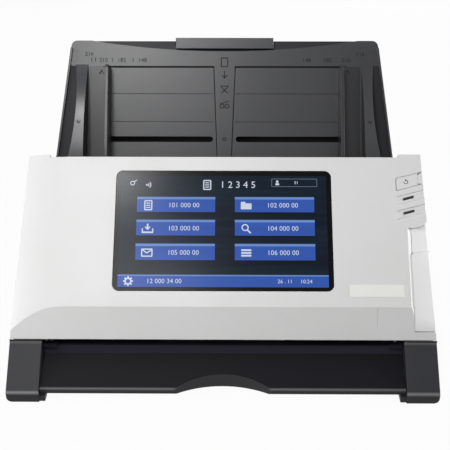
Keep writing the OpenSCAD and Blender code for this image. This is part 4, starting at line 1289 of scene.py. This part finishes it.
def addCamera():
    pickNone()
    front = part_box("base_pan")[0].y
    bpy.ops.object.camera_add(location=(photo["aside"], front - photo["before"], photo["above"]))
    camera = bpy.context.object
    lean = Matrix.Rotation(math.radians(90 - photo["down"]), 3, "X")
    turn = Matrix.Rotation(math.radians(photo["turn"]), 3, "Z")
    roll = Matrix.Rotation(math.radians(photo["roll"]), 3, "Z")
    camera.rotation_euler = (turn @ lean @ roll).to_euler()
    camera.data.sensor_width = photo["sensor"]
    camera.data.lens = photo["sensor"] * photo["focal"] / photo["size"]
    camera.data.clip_start, camera.data.clip_end = photo["clip"]
    bpy.context.scene.camera = camera


addCamera()

# studio: a white floor, a pale backdrop, a lamp near the camera for the tray, one high up for the glass,
# one low on the left, one low past the right end, one high behind and one for the back wall
lamps = {
    "tray": {"at": (-0.20, -0.56, 0.86), "size": 0.26, "power": 2.45},
    "sheen": {"at": (-0.26, -0.43, 1.25), "size": 0.12, "power": 4.1},
    "left": {"at": (-0.62, -0.20, 0.26), "size": 0.25, "power": 1.75},
    "right": {"at": (1.00, 0.00, 0.30), "size": 0.3, "power": 6.5},
    "back": {"at": (-0.50, 0.50, 1.00), "size": 0.5, "power": 2.5},
    "rear": {"at": (0.25, 1.00, 0.40), "size": 0.5, "power": 3.4},
}
studio = {"sky": 0.05, "backdrop": 0.8, "aim": Vector((0, 0, 0.09))}


def plainRays(tree):
    # 1 for camera, mirror and clear rays, which meet the plain floor and backdrop
    path = tree.nodes.new("ShaderNodeLightPath")
    first = tree.nodes.new("ShaderNodeMath")
    first.operation = "MAXIMUM"
    both = tree.nodes.new("ShaderNodeMath")
    both.operation = "MAXIMUM"
    tree.links.new(path.outputs["Is Camera Ray"], first.inputs[0])
    tree.links.new(path.outputs["Is Glossy Ray"], first.inputs[1])
    tree.links.new(first.outputs[0], both.inputs[0])
    tree.links.new(path.outputs["Is Transmission Ray"], both.inputs[1])
    return both.outputs[0]


def addStudio():
    for name, lamp in lamps.items():
        pickNone()
        bpy.ops.object.light_add(type="AREA", location=lamp["at"])
        light = bpy.context.object
        light.name = name + "Lamp"
        light.data.size = lamp["size"]
        light.data.energy = lamp["power"]
        light.rotation_euler = (studio["aim"] - light.location).to_track_quat("-Z", "Y").to_euler()
    world = bpy.data.worlds.new("studio")
    bpy.context.scene.world = world
    world.use_nodes = True
    tree = world.node_tree
    back = tree.nodes["Background"]
    back.inputs["Color"].default_value = rgba(1, 1, 1)
    back.inputs["Strength"].default_value = studio["sky"]
    plain = tree.nodes.new("ShaderNodeBackground")
    plain.inputs["Color"].default_value = rgba(studio["backdrop"], studio["backdrop"], studio["backdrop"])
    plain.inputs["Strength"].default_value = 1.0
    mix = tree.nodes.new("ShaderNodeMixShader")
    tree.links.new(plainRays(tree), mix.inputs[0])
    tree.links.new(back.outputs[0], mix.inputs[1])
    tree.links.new(plain.outputs[0], mix.inputs[2])
    tree.links.new(mix.outputs[0], tree.nodes["World Output"].inputs["Surface"])


floor = {"size": 24.0, "white": 0.96, "drop": 0.05 * mm, "grey": 0.5, "rough": 0.9}


def addFloor():
    pickNone()
    bpy.ops.mesh.primitive_plane_add(size=floor["size"], location=(0, 0, -floor["drop"]))
    piece = bpy.context.object
    piece.name = "floor"
    finish = bpy.data.materials.new("paleFloor")
    finish.use_nodes = True
    tree = finish.node_tree
    bsdf = tree.nodes["Principled BSDF"]
    bsdf.inputs["Base Color"].default_value = rgba(floor["grey"], floor["grey"], floor["grey"])
    bsdf.inputs["Roughness"].default_value = floor["rough"]
    glow = tree.nodes.new("ShaderNodeEmission")
    share = tree.nodes.new("ShaderNodeMath")
    share.operation = "MULTIPLY"
    share.inputs[1].default_value = floor["white"]
    mix = tree.nodes.new("ShaderNodeMixShader")
    tree.links.new(plainRays(tree), share.inputs[0])
    tree.links.new(share.outputs[0], mix.inputs[0])
    tree.links.new(bsdf.outputs[0], mix.inputs[1])
    tree.links.new(glow.outputs[0], mix.inputs[2])
    tree.links.new(mix.outputs[0], tree.nodes["Material Output"].inputs["Surface"])
    piece.data.materials.append(finish)


addStudio()
addFloor()
bpy.context.scene.view_settings.view_transform = "Standard"
print("camera, lamps and floor set")
